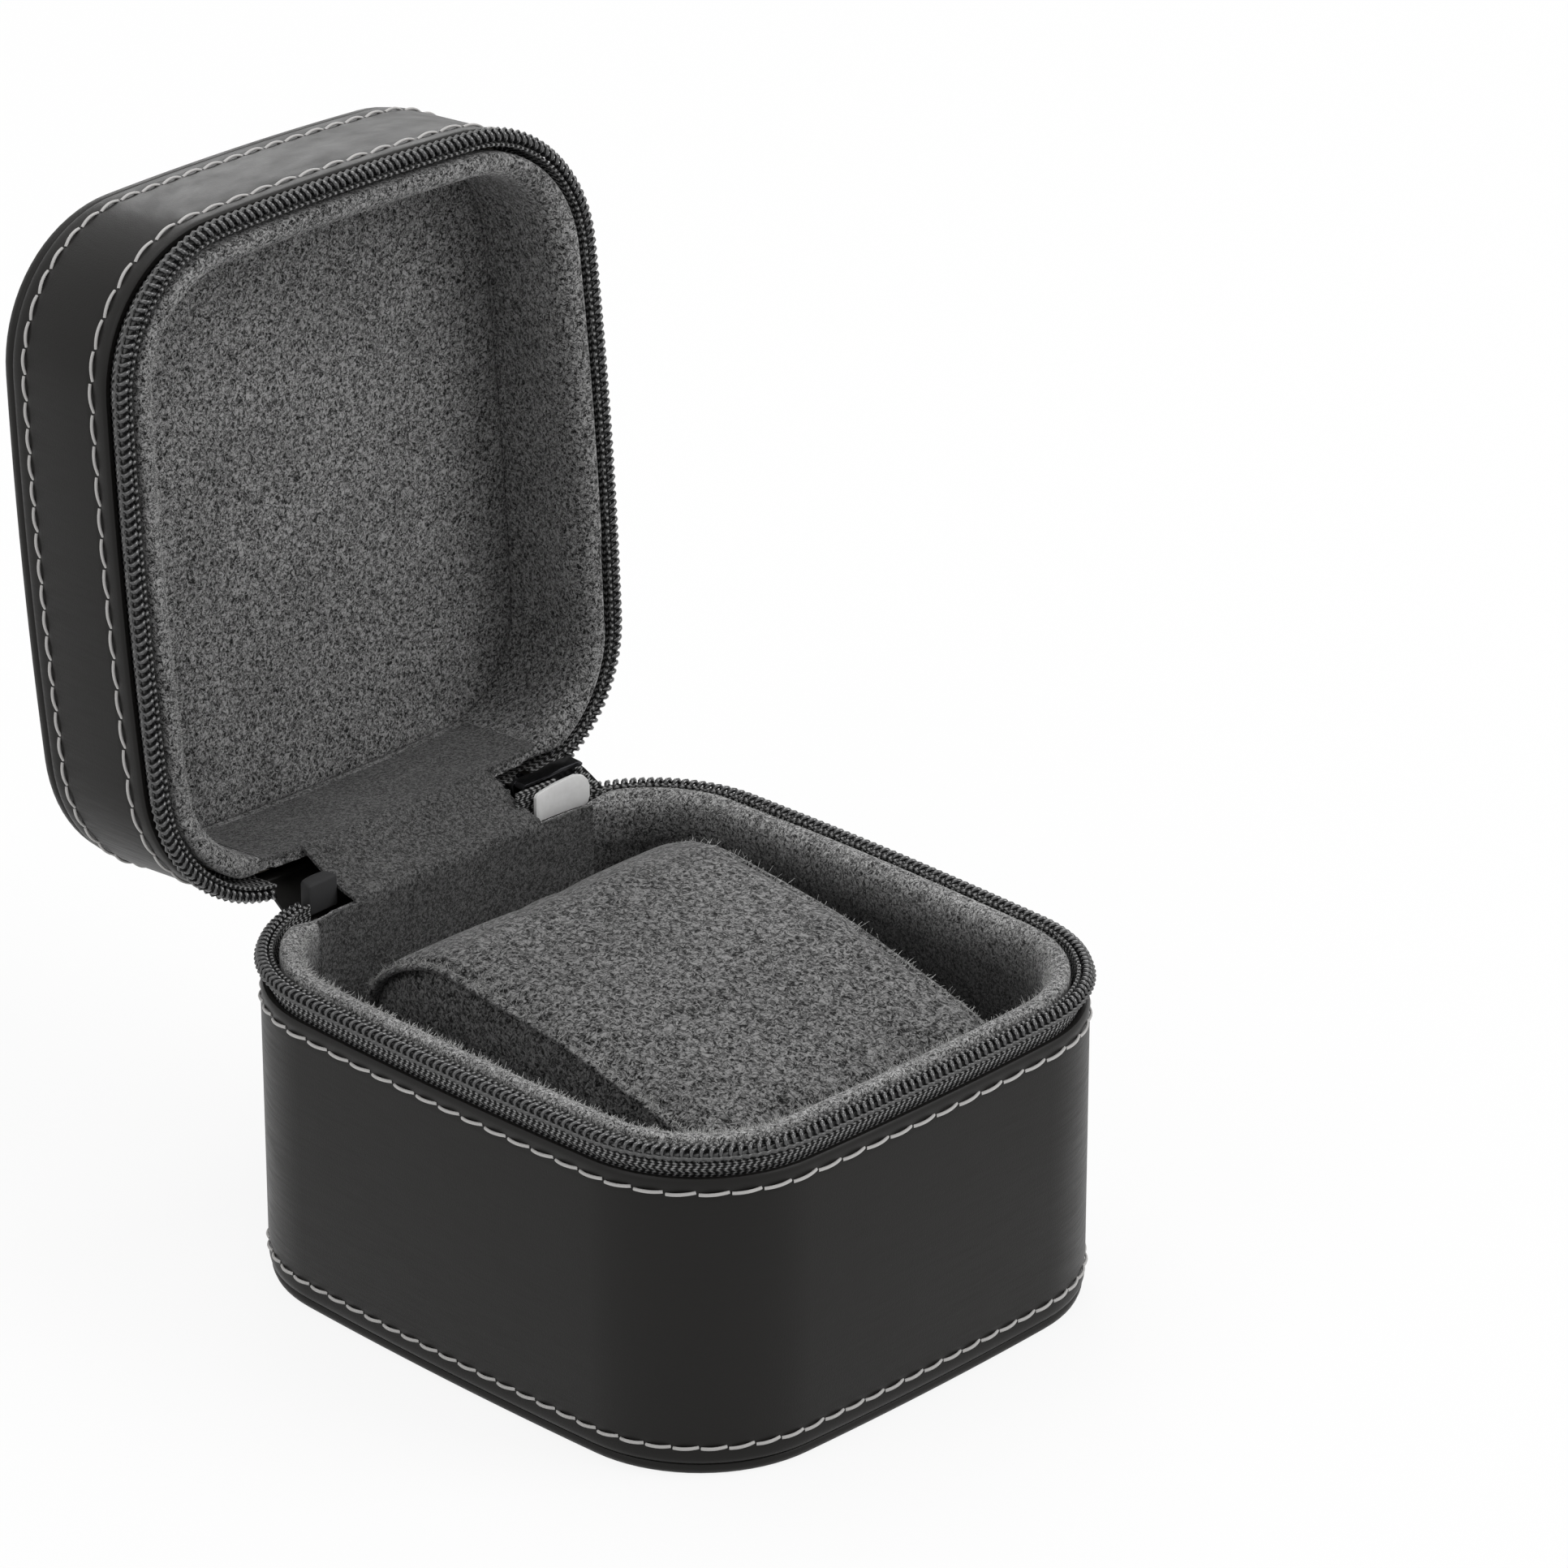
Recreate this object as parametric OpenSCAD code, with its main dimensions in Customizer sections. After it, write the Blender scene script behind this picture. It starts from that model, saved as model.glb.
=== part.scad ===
// Travel case for one wristwatch, in smooth black leather: a deep base, a shallow lid on a
// soft hinge, a coil zip round three sides with a slider, link and pull tab, a suede lining
// and a loose pillow. Millimetres. X runs along the hinge, -Y is the front, Z is up.
// The origin is the centre of the underside, and the lid is drawn open.

/* [Case outline] */
// Width, measured across the two sides
case_w = 95; // [90:0.5:112]
// Depth, from the front to the hinge side
case_d = 105.5; // [98:0.5:124]
// Radius of the four upright corners
corner_r = 23; // [20:0.5:27]
// How far each side bows outward at its middle
side_bow = 1.85; // [0.9:0.05:2.8]

/* [Heights] */
// Edge of the bottom panel
bottom_edge_h = 1.8; // [1.2:0.1:3]
// Leather side of the base, from its lower seam to its upper edge
base_side_h = 46.6; // [36:0.2:60]
// Half of the gap in the leather where the zip shows
zip_half = 4.4; // [4.2:0.1:5.6]
// Leather side of the lid, from its edge by the zip to its seam with the top
lid_side_h = 20.9; // [18:0.1:30]
// Edge of the top panel
top_edge_h = 1.9; // [1.2:0.1:3]
// How much the padded top rises in the middle
top_crown = 3.2; // [1:0.1:5]
// Inside depth of the lid, from the zip to its flat lining
lid_inside_h = 18.2; // [14:0.2:24]

/* [Layers] */
// Leather thickness
leather_t = 1.35; // [1:0.05:1.6]
// Zip tape thickness
tape_t = 0.45; // [0.3:0.05:0.55]
// Board that stiffens walls, floor and lid
board_t = 2.1; // [1.5:0.1:2.4]
// Padded suede lining thickness
lining_t = 1.85; // [1.4:0.05:2.2]
// Thickness of the flat lining on the floor and in the lid
liner_sheet_t = 1; // [0.6:0.1:1.6]
// Glue line between neighbouring layers
layer_gap = 0.05; // [0.03:0.01:0.1]
// Set-back of the top and bottom panels behind the leather sides
panel_inset = 0.35; // [0.2:0.05:0.8]
// Half of the gap between the two rims of the lining at the zip
rim_half = 1.6; // [1:0.1:2]
// Distance of the boards from the middle of the zip
board_half = 6; // [5.6:0.1:8]

/* [Zip] */
// Distance from one coil turn to the next
coil_pitch = 1.5; // [1.3:0.05:2]
// Width of one coil turn along the chain
coil_wire = 0.78; // [0.5:0.02:0.9]
// Thickness of the coil through the wall
coil_t = 2; // [1.6:0.1:2.2]
// Height of one half of the coil
coil_h = 1.95; // [1.5:0.05:2.2]
// Distance of each half of the coil from the middle of the zip
coil_half = 0.75; // [0.65:0.05:0.9]
// How far each tape reaches under the leather
tape_tuck = 10.4; // [6:0.2:16]
// Where the zip starts at the hinge side, left of the middle
zip_left_x = 26; // [24:0.5:30]
// Where the closed tail of the zip ends at the hinge side, right of the middle
zip_tail_x = 17; // [8:0.5:17.5]
// Length of the stop sewn over the left end of the zip
end_stop_w = 6; // [4:0.5:8]

/* [Slider] */
// Length of the slider's outer plate
slider_len = 12.6; // [11:0.1:14]
// Width of the slider at its mouth
slider_mouth_w = 8.2; // [7.8:0.1:8.4]
// Width of the slider at its tail
slider_tail_w = 7.2; // [6.8:0.1:7.6]
// Plate thickness of the slider
plate_t = 0.95; // [0.8:0.05:1]
// Thickness of the slider's side flanges
flange_t = 0.8; // [0.6:0.05:0.85]
// Distance of the bridge bar from the wall
bridge_out = 4.7; // [4.6:0.1:4.8]
// Diameter of the bridge bar that the link hangs on
bridge_d = 1.3; // [1:0.05:1.5]

/* [Pull] */
// Thickness of the link
link_t = 1.8; // [1.4:0.1:2.2]
// Outer width of the link at the top
link_top_w = 4; // [3.8:0.1:4.2]
// Outer width of the link at the bottom
link_bottom_w = 7; // [6.4:0.1:7.4]
// Width of the link's side bars at the top
link_bar = 1.05; // [0.9:0.05:1.1]
// Width of the link's side bars at the bottom
link_foot = 1.7; // [1.4:0.05:1.8]
// Height of the link
link_h = 11.85; // [10:0.1:14]
// Diameter of the pin across the bottom of the link
link_pin_d = 1.6; // [1.2:0.1:1.8]
// Width of the pull tab
tab_w = 7.8; // [6.4:0.1:8]
// Thickness of the pull tab
tab_t = 1.9; // [1.4:0.1:2.2]
// Length of the tab below its shoulders
tab_len = 15.6; // [12:0.2:20]
// Width of the window in the tab
tab_window_w = 3.9; // [3:0.1:4.4]
// Height of the window in the tab
tab_window_h = 5; // [3:0.1:7]
// Metal left below the window
tab_foot = 1.7; // [1.2:0.1:3]

/* [Hinge] */
// Opening angle of the lid
lid_angle = 94.6; // [88:0.1:96]
// Distance of the hinge line behind the leather
hinge_out = 1; // [0.8:0.05:1.2]
// Distance of the hinge line below the middle of the zip
hinge_drop = 2.6; // [2.4:0.05:2.8]
// Thickness of the outer hinge strip
outer_strip_t = 0.5; // [0.4:0.05:0.5]
// Space between the hinge strips and the two ends of the zip
hinge_end_gap = 0.8; // [0.6:0.1:3]
// Half the width of the inner hinge strip
inner_strip_half = 28; // [24:0.5:29]
// Thickness of the inner hinge strip
inner_strip_t = 0.7; // [0.5:0.05:0.9]
// How far the inner strip reaches down the inside of the base
inner_strip_tuck = 9; // [6:0.5:16]

/* [Pillow] */
// Space between each end of the pillow and the lining beside it
pillow_side_gap = 12.5; // [6:0.1:16]
// Gap between the pillow and the lining round it
pillow_gap = 0.6; // [0.5:0.1:1.5]
// Gap under the pillow
pillow_seat_gap = 0.3; // [0.2:0.05:0.6]
// Height of the pillow's ridge at its ends, over the underside of the case
pillow_end_h = 54.3; // [48:0.1:60]
// How much higher the ridge is in the middle of the pillow
pillow_crown = 0.8; // [0.4:0.1:3]
// Thickness of the pillow's suede cover
pillow_skin = 1.2; // [0.8:0.1:1.6]
// How far the end panels lie inside the cover
pillow_recess = 1.4; // [0.8:0.1:2.4]
// How far the end panels bulge
pillow_end_bulge = 0.9; // [0.4:0.1:1.2]

/* [Hidden] */

// steps along half of one side, and round one corner
side_steps = 4;
corner_steps = 10;
over = 1;

// heights of the layers
zip_z = bottom_edge_h + base_side_h + zip_half;
base_top = zip_z - zip_half;
lid_bottom = zip_z + zip_half;
lid_seam = lid_bottom + lid_side_h;
lid_edge = lid_seam + top_edge_h;
floor_z = bottom_edge_h + layer_gap + board_t + layer_gap + liner_sheet_t;
ceiling_z = zip_z + lid_inside_h;
lid_board_z = ceiling_z + liner_sheet_t + layer_gap;
lid_pad_z = lid_board_z + board_t + layer_gap;

// insets of the layers, measured inward from the outer face of the leather
tape_in = leather_t + 2 * layer_gap;
board_in = tape_in + tape_t + 2 * layer_gap;
lining_in = board_in + board_t + layer_gap;
lining_face = lining_in + lining_t;
coil_in = tape_in - layer_gap;
coil_out = coil_in - coil_t;

// the outline is eight arcs: four bowed sides and four corners
end_r = (case_w * case_w / 4 + side_bow * side_bow) / (2 * side_bow);
side_r = (case_d * case_d / 4 + side_bow * side_bow) / (2 * side_bow);
end_c = end_r - case_d / 2;
side_c = side_r - case_w / 2;
span = norm([side_c, end_c]);
along = ((end_r - corner_r) * (end_r - corner_r) - (side_r - corner_r) * (side_r - corner_r)
        + span * span) / (2 * span);
away = sqrt((end_r - corner_r) * (end_r - corner_r) - along * along);
corner_x = (-side_c * along + end_c * away) / span;
corner_y = -end_c + (end_c * along + side_c * away) / span;
end_a = atan2(corner_y + end_c, corner_x);
side_a = atan2(corner_y, corner_x + side_c);

hinge_y = case_d / 2 + hinge_out;
hinge_z = zip_z - hinge_drop;

// one quarter of the outline, inset by t, from the middle of the right side to the middle of
// the hinge side
function arc_pt(c, r, a) = c + r * [cos(a), sin(a)];
function quarter(t) = concat(
    [for (i = [0:side_steps])
        arc_pt([-side_c, 0], side_r - t, side_a * i / side_steps)],
    [for (i = [1:corner_steps])
        arc_pt([corner_x, corner_y], corner_r - t,
            side_a + (end_a - side_a) * i / corner_steps)],
    [for (i = [1:side_steps])
        arc_pt([0, -end_c], end_r - t, end_a + (90 - end_a) * i / side_steps)]
);
function outline(t) = let (q = quarter(t), n = len(q)) concat(
    q,
    [for (i = [n - 2:-1:0]) [-q[i][0], q[i][1]]],
    [for (i = [1:n - 1]) [-q[i][0], -q[i][1]]],
    [for (i = [n - 2:-1:1]) [q[i][0], -q[i][1]]]
);
// half depth of the outline at x, inset by t
function wall_y(x, t) = abs(x) < corner_x + (corner_r - t) * cos(end_a)
    ? -end_c + sqrt((end_r - t) * (end_r - t) - x * x)
    : corner_y + sqrt((corner_r - t) * (corner_r - t) - (abs(x) - corner_x) * (abs(x) - corner_x));

// the arcs that the zip follows: centre, radius, first and last angle, anticlockwise from the
// left end at the hinge side
chain_arcs = [
    [[0, -end_c], end_r, 90 + asin(zip_left_x / end_r), 180 - end_a],
    [[-corner_x, corner_y], corner_r, 180 - end_a, 180 - side_a],
    [[side_c, 0], side_r, 180 - side_a, 180 + side_a],
    [[-corner_x, -corner_y], corner_r, 180 + side_a, 180 + end_a],
    [[0, end_c], end_r, 180 + end_a, 360 - end_a],
    [[corner_x, -corner_y], corner_r, 360 - end_a, 360 - side_a],
    [[-side_c, 0], side_r, 360 - side_a, 360 + side_a],
    [[corner_x, corner_y], corner_r, 360 + side_a, 360 + end_a],
    [[0, -end_c], end_r, 360 + end_a, 450 - asin(zip_tail_x / end_r)]
];
function arc_len(k) = chain_arcs[k][1] * (chain_arcs[k][3] - chain_arcs[k][2]) * PI / 180;
function len_to(k) = k == 0 ? 0 : len_to(k - 1) + arc_len(k - 1);
chain_starts = [for (k = [0:len(chain_arcs)]) len_to(k)];
chain_len = chain_starts[len(chain_arcs)];
function which(s, k = 0) =
    k == len(chain_arcs) - 1 || s < chain_starts[k + 1] ? k : which(s, k + 1);
// point at length s along the chain, inset by t
function chain_pt(s, t) = let (k = which(s), a = chain_arcs[k])
    arc_pt(a[0], a[1] - t, a[2] + (s - chain_starts[k]) / a[1] * 180 / PI);

// plan of one half of the coil between two lengths of the chain: turns on a thin spine
spine_t = 0.4;
function coil_plan(s0, s1) = let (n = floor((s1 - s0 - coil_wire) / coil_pitch)) concat(
    [for (i = [0:n], c = [
            [-coil_wire / 2, coil_in - spine_t], [-coil_wire / 2, coil_out],
            [coil_wire / 2, coil_out], [coil_wire / 2, coil_in - spine_t]])
        chain_pt(s0 + coil_wire / 2 + i * coil_pitch + c[0], c[1])],
    [for (i = [n:-1:0], e = [1, -1])
        if (e < 0 || i == n)
            chain_pt(s0 + coil_wire / 2 + i * coil_pitch + e * coil_wire / 2, coil_in)]
);

module plate(t, z0, z1) {
    translate([0, 0, z0])
        linear_extrude(z1 - z0)
            polygon(outline(t));
}
module ring(t0, t1, z0, z1) {
    difference() {
        plate(t0, z0, z1);
        plate(t1, z0 - over, z1 + over);
    }
}
// rings of points joined into a solid: with a flat cap at each end, or, where it is closed,
// from the last ring back to the first
module skin(rings, closed = false) {
    nr = len(rings);
    n = len(rings[0]);
    pts = [for (r = rings, p = r) p];
    sides = [for (i = [0:closed ? nr - 1 : nr - 2], j = [0:n - 1])
        let (k = (i + 1) % nr, a = i * n + j, b = i * n + (j + 1) % n, c = k * n + (j + 1) % n,
            d = k * n + j)
        for (f = [[a, c, b], [a, d, c]]) f];
    first = [for (j = [0:n - 1]) j];
    last = [for (j = [n - 1:-1:0]) (nr - 1) * n + j];
    polyhedron(points = pts, faces = closed ? sides : concat([first], sides, [last]),
        convexity = 6);
}
// a wall that sweeps a profile of [inset, z] pairs round the outline
module swept_wall(profile) {
    skin([for (p = profile) level(p[0], p[1])], true);
}
// an outline ring at one height: inset t, or drawn in by the factor s once t is deep
function level(t, z, s = 1) = [for (p = outline(t)) [p[0] * s, p[1] * s, z]];

module opened() {
    translate([0, hinge_y, hinge_z])
        rotate([-lid_angle, 0, 0])
            translate([0, -hinge_y, -hinge_z])
                children();
}
// the same turn for one [y, z] point of the closed lid
function opened_pt(p) = [
    hinge_y + (p[0] - hinge_y) * cos(lid_angle) + (p[1] - hinge_z) * sin(lid_angle),
    hinge_z - (p[0] - hinge_y) * sin(lid_angle) + (p[1] - hinge_z) * cos(lid_angle)
];

// ---- base ----
module base_bottom_panel() {
    edge = min(0.9, bottom_edge_h / 2);
    color("#1c1b1c")
        skin([
            level(panel_inset + edge, 0), level(panel_inset + 0.35 * edge, 0.3 * edge),
            level(panel_inset, edge), level(panel_inset, bottom_edge_h - layer_gap)
        ]);
}
module base_side_cover() {
    color("#242324")
        ring(0, leather_t, bottom_edge_h, base_top);
}
module base_wall_board() {
    color("#8a8378")
        ring(board_in, board_in + board_t, bottom_edge_h + layer_gap, zip_z - board_half);
}
module base_floor_board() {
    color("#8a8378")
        plate(lining_in, bottom_edge_h + layer_gap, bottom_edge_h + layer_gap + board_t);
}
// a rim rolled over the padding at z_rim, at the far end of a lining wall from z_end
function rolled(z_rim, z_end) = let (m = lining_t / 2, s = sign(z_rim - z_end)) [
    [lining_in, z_end],
    for (a = [180:-30:0]) [lining_in + m * (1 + cos(a)), z_rim - s * m * (1 - sin(a))],
    [lining_face, z_end]
];
function reversed(p) = [for (i = [len(p) - 1:-1:0]) p[i]];
module base_lining_wall() {
    color("#5c5a5b")
        swept_wall(rolled(zip_z - rim_half, floor_z + layer_gap));
}
module base_lining_floor() {
    color("#555354")
        plate(lining_in, floor_z - liner_sheet_t, floor_z);
}

// ---- zip ----
// everything outside the stretch of the hinge side between two x positions
module zip_region(x_left, x_right, z0, z1) {
    difference() {
        translate([-case_w, -case_d, z0])
            cube([2 * case_w, 2 * case_d, z1 - z0]);
        translate([x_left, 0, z0 - over])
            cube([x_right - x_left, case_d, z1 - z0 + 2 * over]);
    }
}
module tape(x_left, x_right, z0, z1) {
    intersection() {
        ring(tape_in, tape_in + tape_t, z0, z1);
        zip_region(x_left, x_right, z0 - over, z1 + over);
    }
}
tape_half = 0.9;
module base_zipper_tape() {
    color("#19191a")
        tape(-zip_left_x, zip_tail_x, zip_z - zip_half - tape_tuck, zip_z - tape_half);
}
module coil(s0, s1, z0, h) {
    translate([0, 0, z0])
        linear_extrude(h)
            polygon(coil_plan(s0, s1));
}
module base_zipper_coil() {
    color("#0f0f10")
        coil(coil_lead, slider_s - coil_pitch / 2, zip_z - coil_half - coil_h, coil_h);
}
// the coil starts this far from its left end stop
coil_lead = 0.25;
// lengths along the chain: the middle of the slider, its mouth, and the start of the tail
slider_s = chain_starts[8];
mouth_s = slider_s - slider_len / 2 - coil_pitch;
tail_s = slider_s + coil_pitch / 4;
// the short stretch behind the slider that stays closed: two meshed halves on their tape
module zipper_tail() {
    tail_h = coil_half + coil_h;
    color("#141415")
        union() {
            coil(tail_s, chain_len, zip_z - tail_h, tail_h);
            coil(tail_s + coil_pitch / 2, chain_len, zip_z, tail_h);
            intersection() {
                ring(coil_in - spine_t / 2, tape_in + tape_t, zip_z - tape_half + layer_gap,
                    zip_z + tail_h + 0.35);
                translate([zip_tail_x, 0, zip_z - tape_half])
                    cube([chain_pt(tail_s, 0)[0] - zip_tail_x, case_d, 2 * zip_half]);
            }
        }
}
// the folded stop over the left end of both tapes
module zipper_left_end() {
    color("#1b1b1c")
        translate([0, 0, zip_z - end_stop_half])
            linear_extrude(2 * end_stop_half)
                polygon(concat(
                    [for (x = [0:1:end_stop_w]) [x - zip_left_x,
                        wall_y(x - zip_left_x, tape_in + tape_t)]],
                    [for (a = [0:15:180])
                        let (x = (end_stop_w - 0.6) * (0.5 + 0.5 * cos(a)) + 0.3)
                        [x - zip_left_x,
                            wall_y(x - zip_left_x, coil_out + 0.5) + 0.8 * sin(a)]]
                ));
}
end_stop_half = 2.55;

// ---- soft hinge ----
function left_of(p, i, d) = let (n = len(p),
    u = p[min(i + 1, n - 1)] - p[max(i - 1, 0)], l = norm(u))
    p[i] + d * [-u[1], u[0]] / l;
// a flat band of thickness t along a line of [y, z] points
function band_plan(p, t) = concat(
    [for (i = [0:len(p) - 1]) left_of(p, i, t / 2)],
    [for (i = [len(p) - 1:-1:0]) left_of(p, i, -t / 2)]
);
module band(p, t, x0, x1) {
    translate([x0, 0, 0])
        rotate([90, 0, 90])
            linear_extrude(x1 - x0)
                polygon(band_plan(p, t));
}
hinge_left = end_stop_w + hinge_end_gap - zip_left_x;
hinge_right = zip_tail_x - hinge_end_gap;
hinge_end = max(-hinge_left, hinge_right);
strip_mid = tape_in + outer_strip_t / 2;
strip_y = wall_y(hinge_end, 0) - strip_mid;
strip_tuck = board_half - zip_half - 0.2;
module hinge_outer_strip() {
    lid_0 = opened_pt([strip_y, lid_bottom]);
    lid_1 = opened_pt([strip_y, lid_bottom + strip_tuck]);
    y_edge = strip_y + strip_mid;
    color("#202021")
        band([
            [strip_y, base_top - strip_tuck], [strip_y, base_top + 0.2],
            [strip_y + 0.55, base_top + 0.95], [y_edge, base_top + 1.5],
            [y_edge + 2.6, base_top + 2.1], [lid_0[0] - 2.4, lid_0[1] - 0.45],
            lid_0, lid_1
        ], outer_strip_t, hinge_left, hinge_right);
}
// the suede strip that lines the hinge: down the inside of the base, over its rim, and up the
// hinge side of the lid
strip_face = lining_face + layer_gap;
strip_in = strip_face + inner_strip_t;
strip_reach = lid_inside_h - rim_half - 1.2;
module strip_wall(z0, z1) {
    intersection() {
        ring(strip_face, strip_in, z0, z1);
        translate([-inner_strip_half, 0, z0 - over])
            cube([2 * inner_strip_half, case_d, z1 - z0 + 2 * over]);
    }
}
module hinge_inner_strip() {
    z_rim = zip_z - rim_half + layer_gap;
    z_lid = zip_z + rim_half - layer_gap;
    y_in = wall_y(hinge_end, strip_in);
    y_out = wall_y(0, lining_in);
    lid_in = opened_pt([y_in, z_lid]);
    lid_out = opened_pt([y_out, z_lid]);
    color("#4a4849")
        difference() {
            union() {
                strip_wall(z_rim - inner_strip_tuck, z_rim + inner_strip_t);
                opened()
                    strip_wall(z_lid - inner_strip_t, z_lid + strip_reach);
                translate([hinge_left, 0, 0])
                    rotate([90, 0, 90])
                        linear_extrude(hinge_right - hinge_left)
                            polygon([
                                [y_in, z_rim], [y_out, z_rim], [y_out + 0.4, z_rim + 0.6],
                                opened_pt([y_out, z_lid - 0.6]), lid_out, lid_in,
                                opened_pt([y_in, z_lid - inner_strip_t]),
                                [y_in + 2.6, z_rim + inner_strip_t + 1.4],
                                [y_in, z_rim + inner_strip_t]
                            ]);
            }
            plate(strip_in, z_rim - inner_strip_tuck - over, z_rim + inner_strip_t + over);
            opened()
                plate(strip_in, z_lid - inner_strip_t - over, z_lid + strip_reach + over);
        }
}

// ---- lid ----
module lid_side_cover() {
    color("#242324")
        opened()
            ring(0, leather_t, lid_bottom, lid_seam);
}
// rise of the padded top at inset t, from the edge to the middle
function crown(t) = top_crown * (1 - pow(1 - min(t, corner_r) / corner_r, 2.2)) * 0.86;
top_deep = corner_r - 5;
top_levels = [1.4, 2.6, 5.2, 9, 14, top_deep];
function dome(drop, grow) = concat(
    [level(panel_inset + grow, lid_edge - 0.75 - drop),
     level(panel_inset + grow + 0.3, lid_edge - 0.25 - drop)],
    [for (t = top_levels) level(t + grow, lid_edge + crown(t) - drop)],
    [level(top_deep + grow, lid_edge + top_crown * 0.95 - drop, 0.6),
     level(top_deep + grow, lid_edge + top_crown - drop, 0.3)]
);
module lid_top_panel() {
    color("#1f1e1f")
        opened()
            difference() {
                skin(concat([level(panel_inset, lid_seam + layer_gap)], dome(0, 0)));
                skin(concat([level(panel_inset + leather_t, lid_seam - over)],
                    dome(leather_t, leather_t)));
            }
}
module lid_top_padding() {
    color("#c9c4b8")
        opened()
            skin(concat([level(board_in, lid_pad_z)],
                [level(board_in, lid_edge - 0.75 - leather_t - layer_gap)],
                [for (i = [2:len(dome(0, 0)) - 1])
                    dome(leather_t + layer_gap, leather_t + layer_gap)[i]]));
}
module lid_top_board() {
    color("#8a8378")
        opened()
            plate(lining_in, lid_board_z, lid_board_z + board_t);
}
module lid_wall_board() {
    color("#8a8378")
        opened()
            ring(board_in, board_in + board_t, zip_z + board_half, lid_board_z + board_t);
}
module lid_lining_wall() {
    color("#5c5a5b")
        opened()
            swept_wall(reversed(rolled(zip_z + rim_half, ceiling_z - layer_gap)));
}
module lid_lining_top() {
    color("#606062")
        opened()
            plate(lining_in, ceiling_z, ceiling_z + liner_sheet_t);
}
lid_zip_x = chain_pt(mouth_s, 0)[0];
module lid_zipper_tape() {
    color("#19191a")
        opened()
            tape(-zip_left_x, lid_zip_x, zip_z + tape_half, lid_bottom + tape_tuck);
}
module lid_zipper_coil() {
    color("#0f0f10")
        opened()
            coil(coil_lead, mouth_s, zip_z + coil_half, coil_h);
}

// ---- slider ----
// its own frame: x along the chain toward the mouth, y out from the wall, z up, at the start
// of the right rear corner
module at_slider() {
    translate([corner_x, corner_y, zip_z])
        rotate([0, 0, end_a - 90])
            translate([0, corner_r, 0])
                children();
}
// a flat shape drawn in the plane of the slider's plates, from y0 to y1
module upright(y0, y1) {
    translate([0, y1, 0])
        rotate([90, 0, 0])
            linear_extrude(y1 - y0)
                children();
}
mouth_h = slider_mouth_w / 2;
tail_h = slider_tail_w / 2;
half_len = slider_len / 2;
plate_in = -coil_out + 0.25;
plate_out = plate_in + plate_t;
flange_end = -(tape_in - 0.25);
shell_out = corner_r - (tape_in + tape_t + 0.25);
shell_in = shell_out - 0.6;
shell_mouth_h = 3.1;
shell_tail_h = 2.4;
module shield(cut, len_cut) {
    l = half_len - len_cut;
    polygon([
        [-l, -tail_h + 0.5 + cut], [-l + 0.6, -tail_h + cut], [-1, -tail_h + cut],
        [1.5, -mouth_h + cut], [l - 0.7, -mouth_h + cut], [l, -mouth_h + 0.7 + cut],
        [l, mouth_h - 0.7 - cut], [l - 0.7, mouth_h - cut], [1.5, mouth_h - cut],
        [-1, tail_h - cut], [-l + 0.6, tail_h - cut], [-l, tail_h - 0.5 - cut]
    ]);
}
// half of the inner plate, which the lid's lining passes as it opens: low at the tail
module inner_half() {
    l = half_len - 0.9;
    polygon([
        [-l, -0.1], [-l, shell_tail_h - 0.4], [-l + 0.4, shell_tail_h], [1.5, shell_mouth_h - 0.15],
        [3, shell_mouth_h], [l - 1, shell_mouth_h - 0.4], [l - 0.3, shell_mouth_h - 1.2],
        [l, shell_mouth_h - 2.2], [l, -0.1]
    ]);
}
module flange() {
    l = half_len - 0.3;
    polygon([
        [-l, tail_h - flange_t], [-1, tail_h - flange_t], [1.5, mouth_h - flange_t],
        [l, mouth_h - flange_t], [l, mouth_h - 0.45], [l - 0.5, mouth_h], [1.5, mouth_h],
        [-1, tail_h], [-l + 0.4, tail_h], [-l, tail_h - 0.4]
    ]);
}
module slider_body() {
    color("#3b3c3f")
        at_slider() {
            union() {
                upright(plate_in, plate_out - 0.3)
                    shield(0, 0);
                upright(plate_out - 0.3, plate_out)
                    shield(0.35, 0.35);
                upright(flange_end, plate_in + 0.1) {
                    flange();
                    mirror([0, 1, 0])
                        flange();
                }
                // the wedge that parts the two rows of coil
                upright(shell_in - corner_r + 0.05, plate_in + 0.1)
                    polygon([[1, 0], [3.2, 0.55], [5.2, 0], [3.2, -0.55]]);
                // the inner plate follows the corner that the slider runs round
                intersection() {
                    translate([0, -corner_r, -mouth_h])
                        difference() {
                            cylinder(h = 2 * mouth_h, r = shell_out, $fn = 96);
                            translate([0, 0, -over])
                                cylinder(h = 2 * mouth_h + 2 * over, r = shell_in, $fn = 96);
                        }
                    upright(-corner_r, 0) {
                        inner_half();
                        mirror([0, 1, 0])
                            inner_half();
                    }
                }
                // the bridge over the outer plate
                difference() {
                    translate([0, 0, -bridge_w / 2])
                        linear_extrude(bridge_w)
                            polygon([
                                [-bridge_l, plate_out - 0.1], [-bridge_l, bridge_out - 0.2],
                                [-bridge_l + 0.75, bridge_top], [bridge_l - 0.75, bridge_top],
                                [bridge_l, bridge_out - 0.2], [bridge_l, plate_out - 0.1]
                            ]);
                    translate([-bridge_l + bridge_leg, plate_out - over, -bridge_w])
                        cube([2 * (bridge_l - bridge_leg),
                            bridge_top + 2 * over - plate_out, 2 * bridge_w]);
                }
                translate([-bridge_l + 0.5, bridge_out, 0])
                    rotate([0, 90, 0])
                        cylinder(h = 2 * bridge_l - 1, d = bridge_d, $fn = 32);
            }
        }
}
bridge_w = 2;
bridge_top = bridge_out + bridge_d / 2 + 0.15;
bridge_l = 4.6;
bridge_leg = 1.05;

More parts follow.
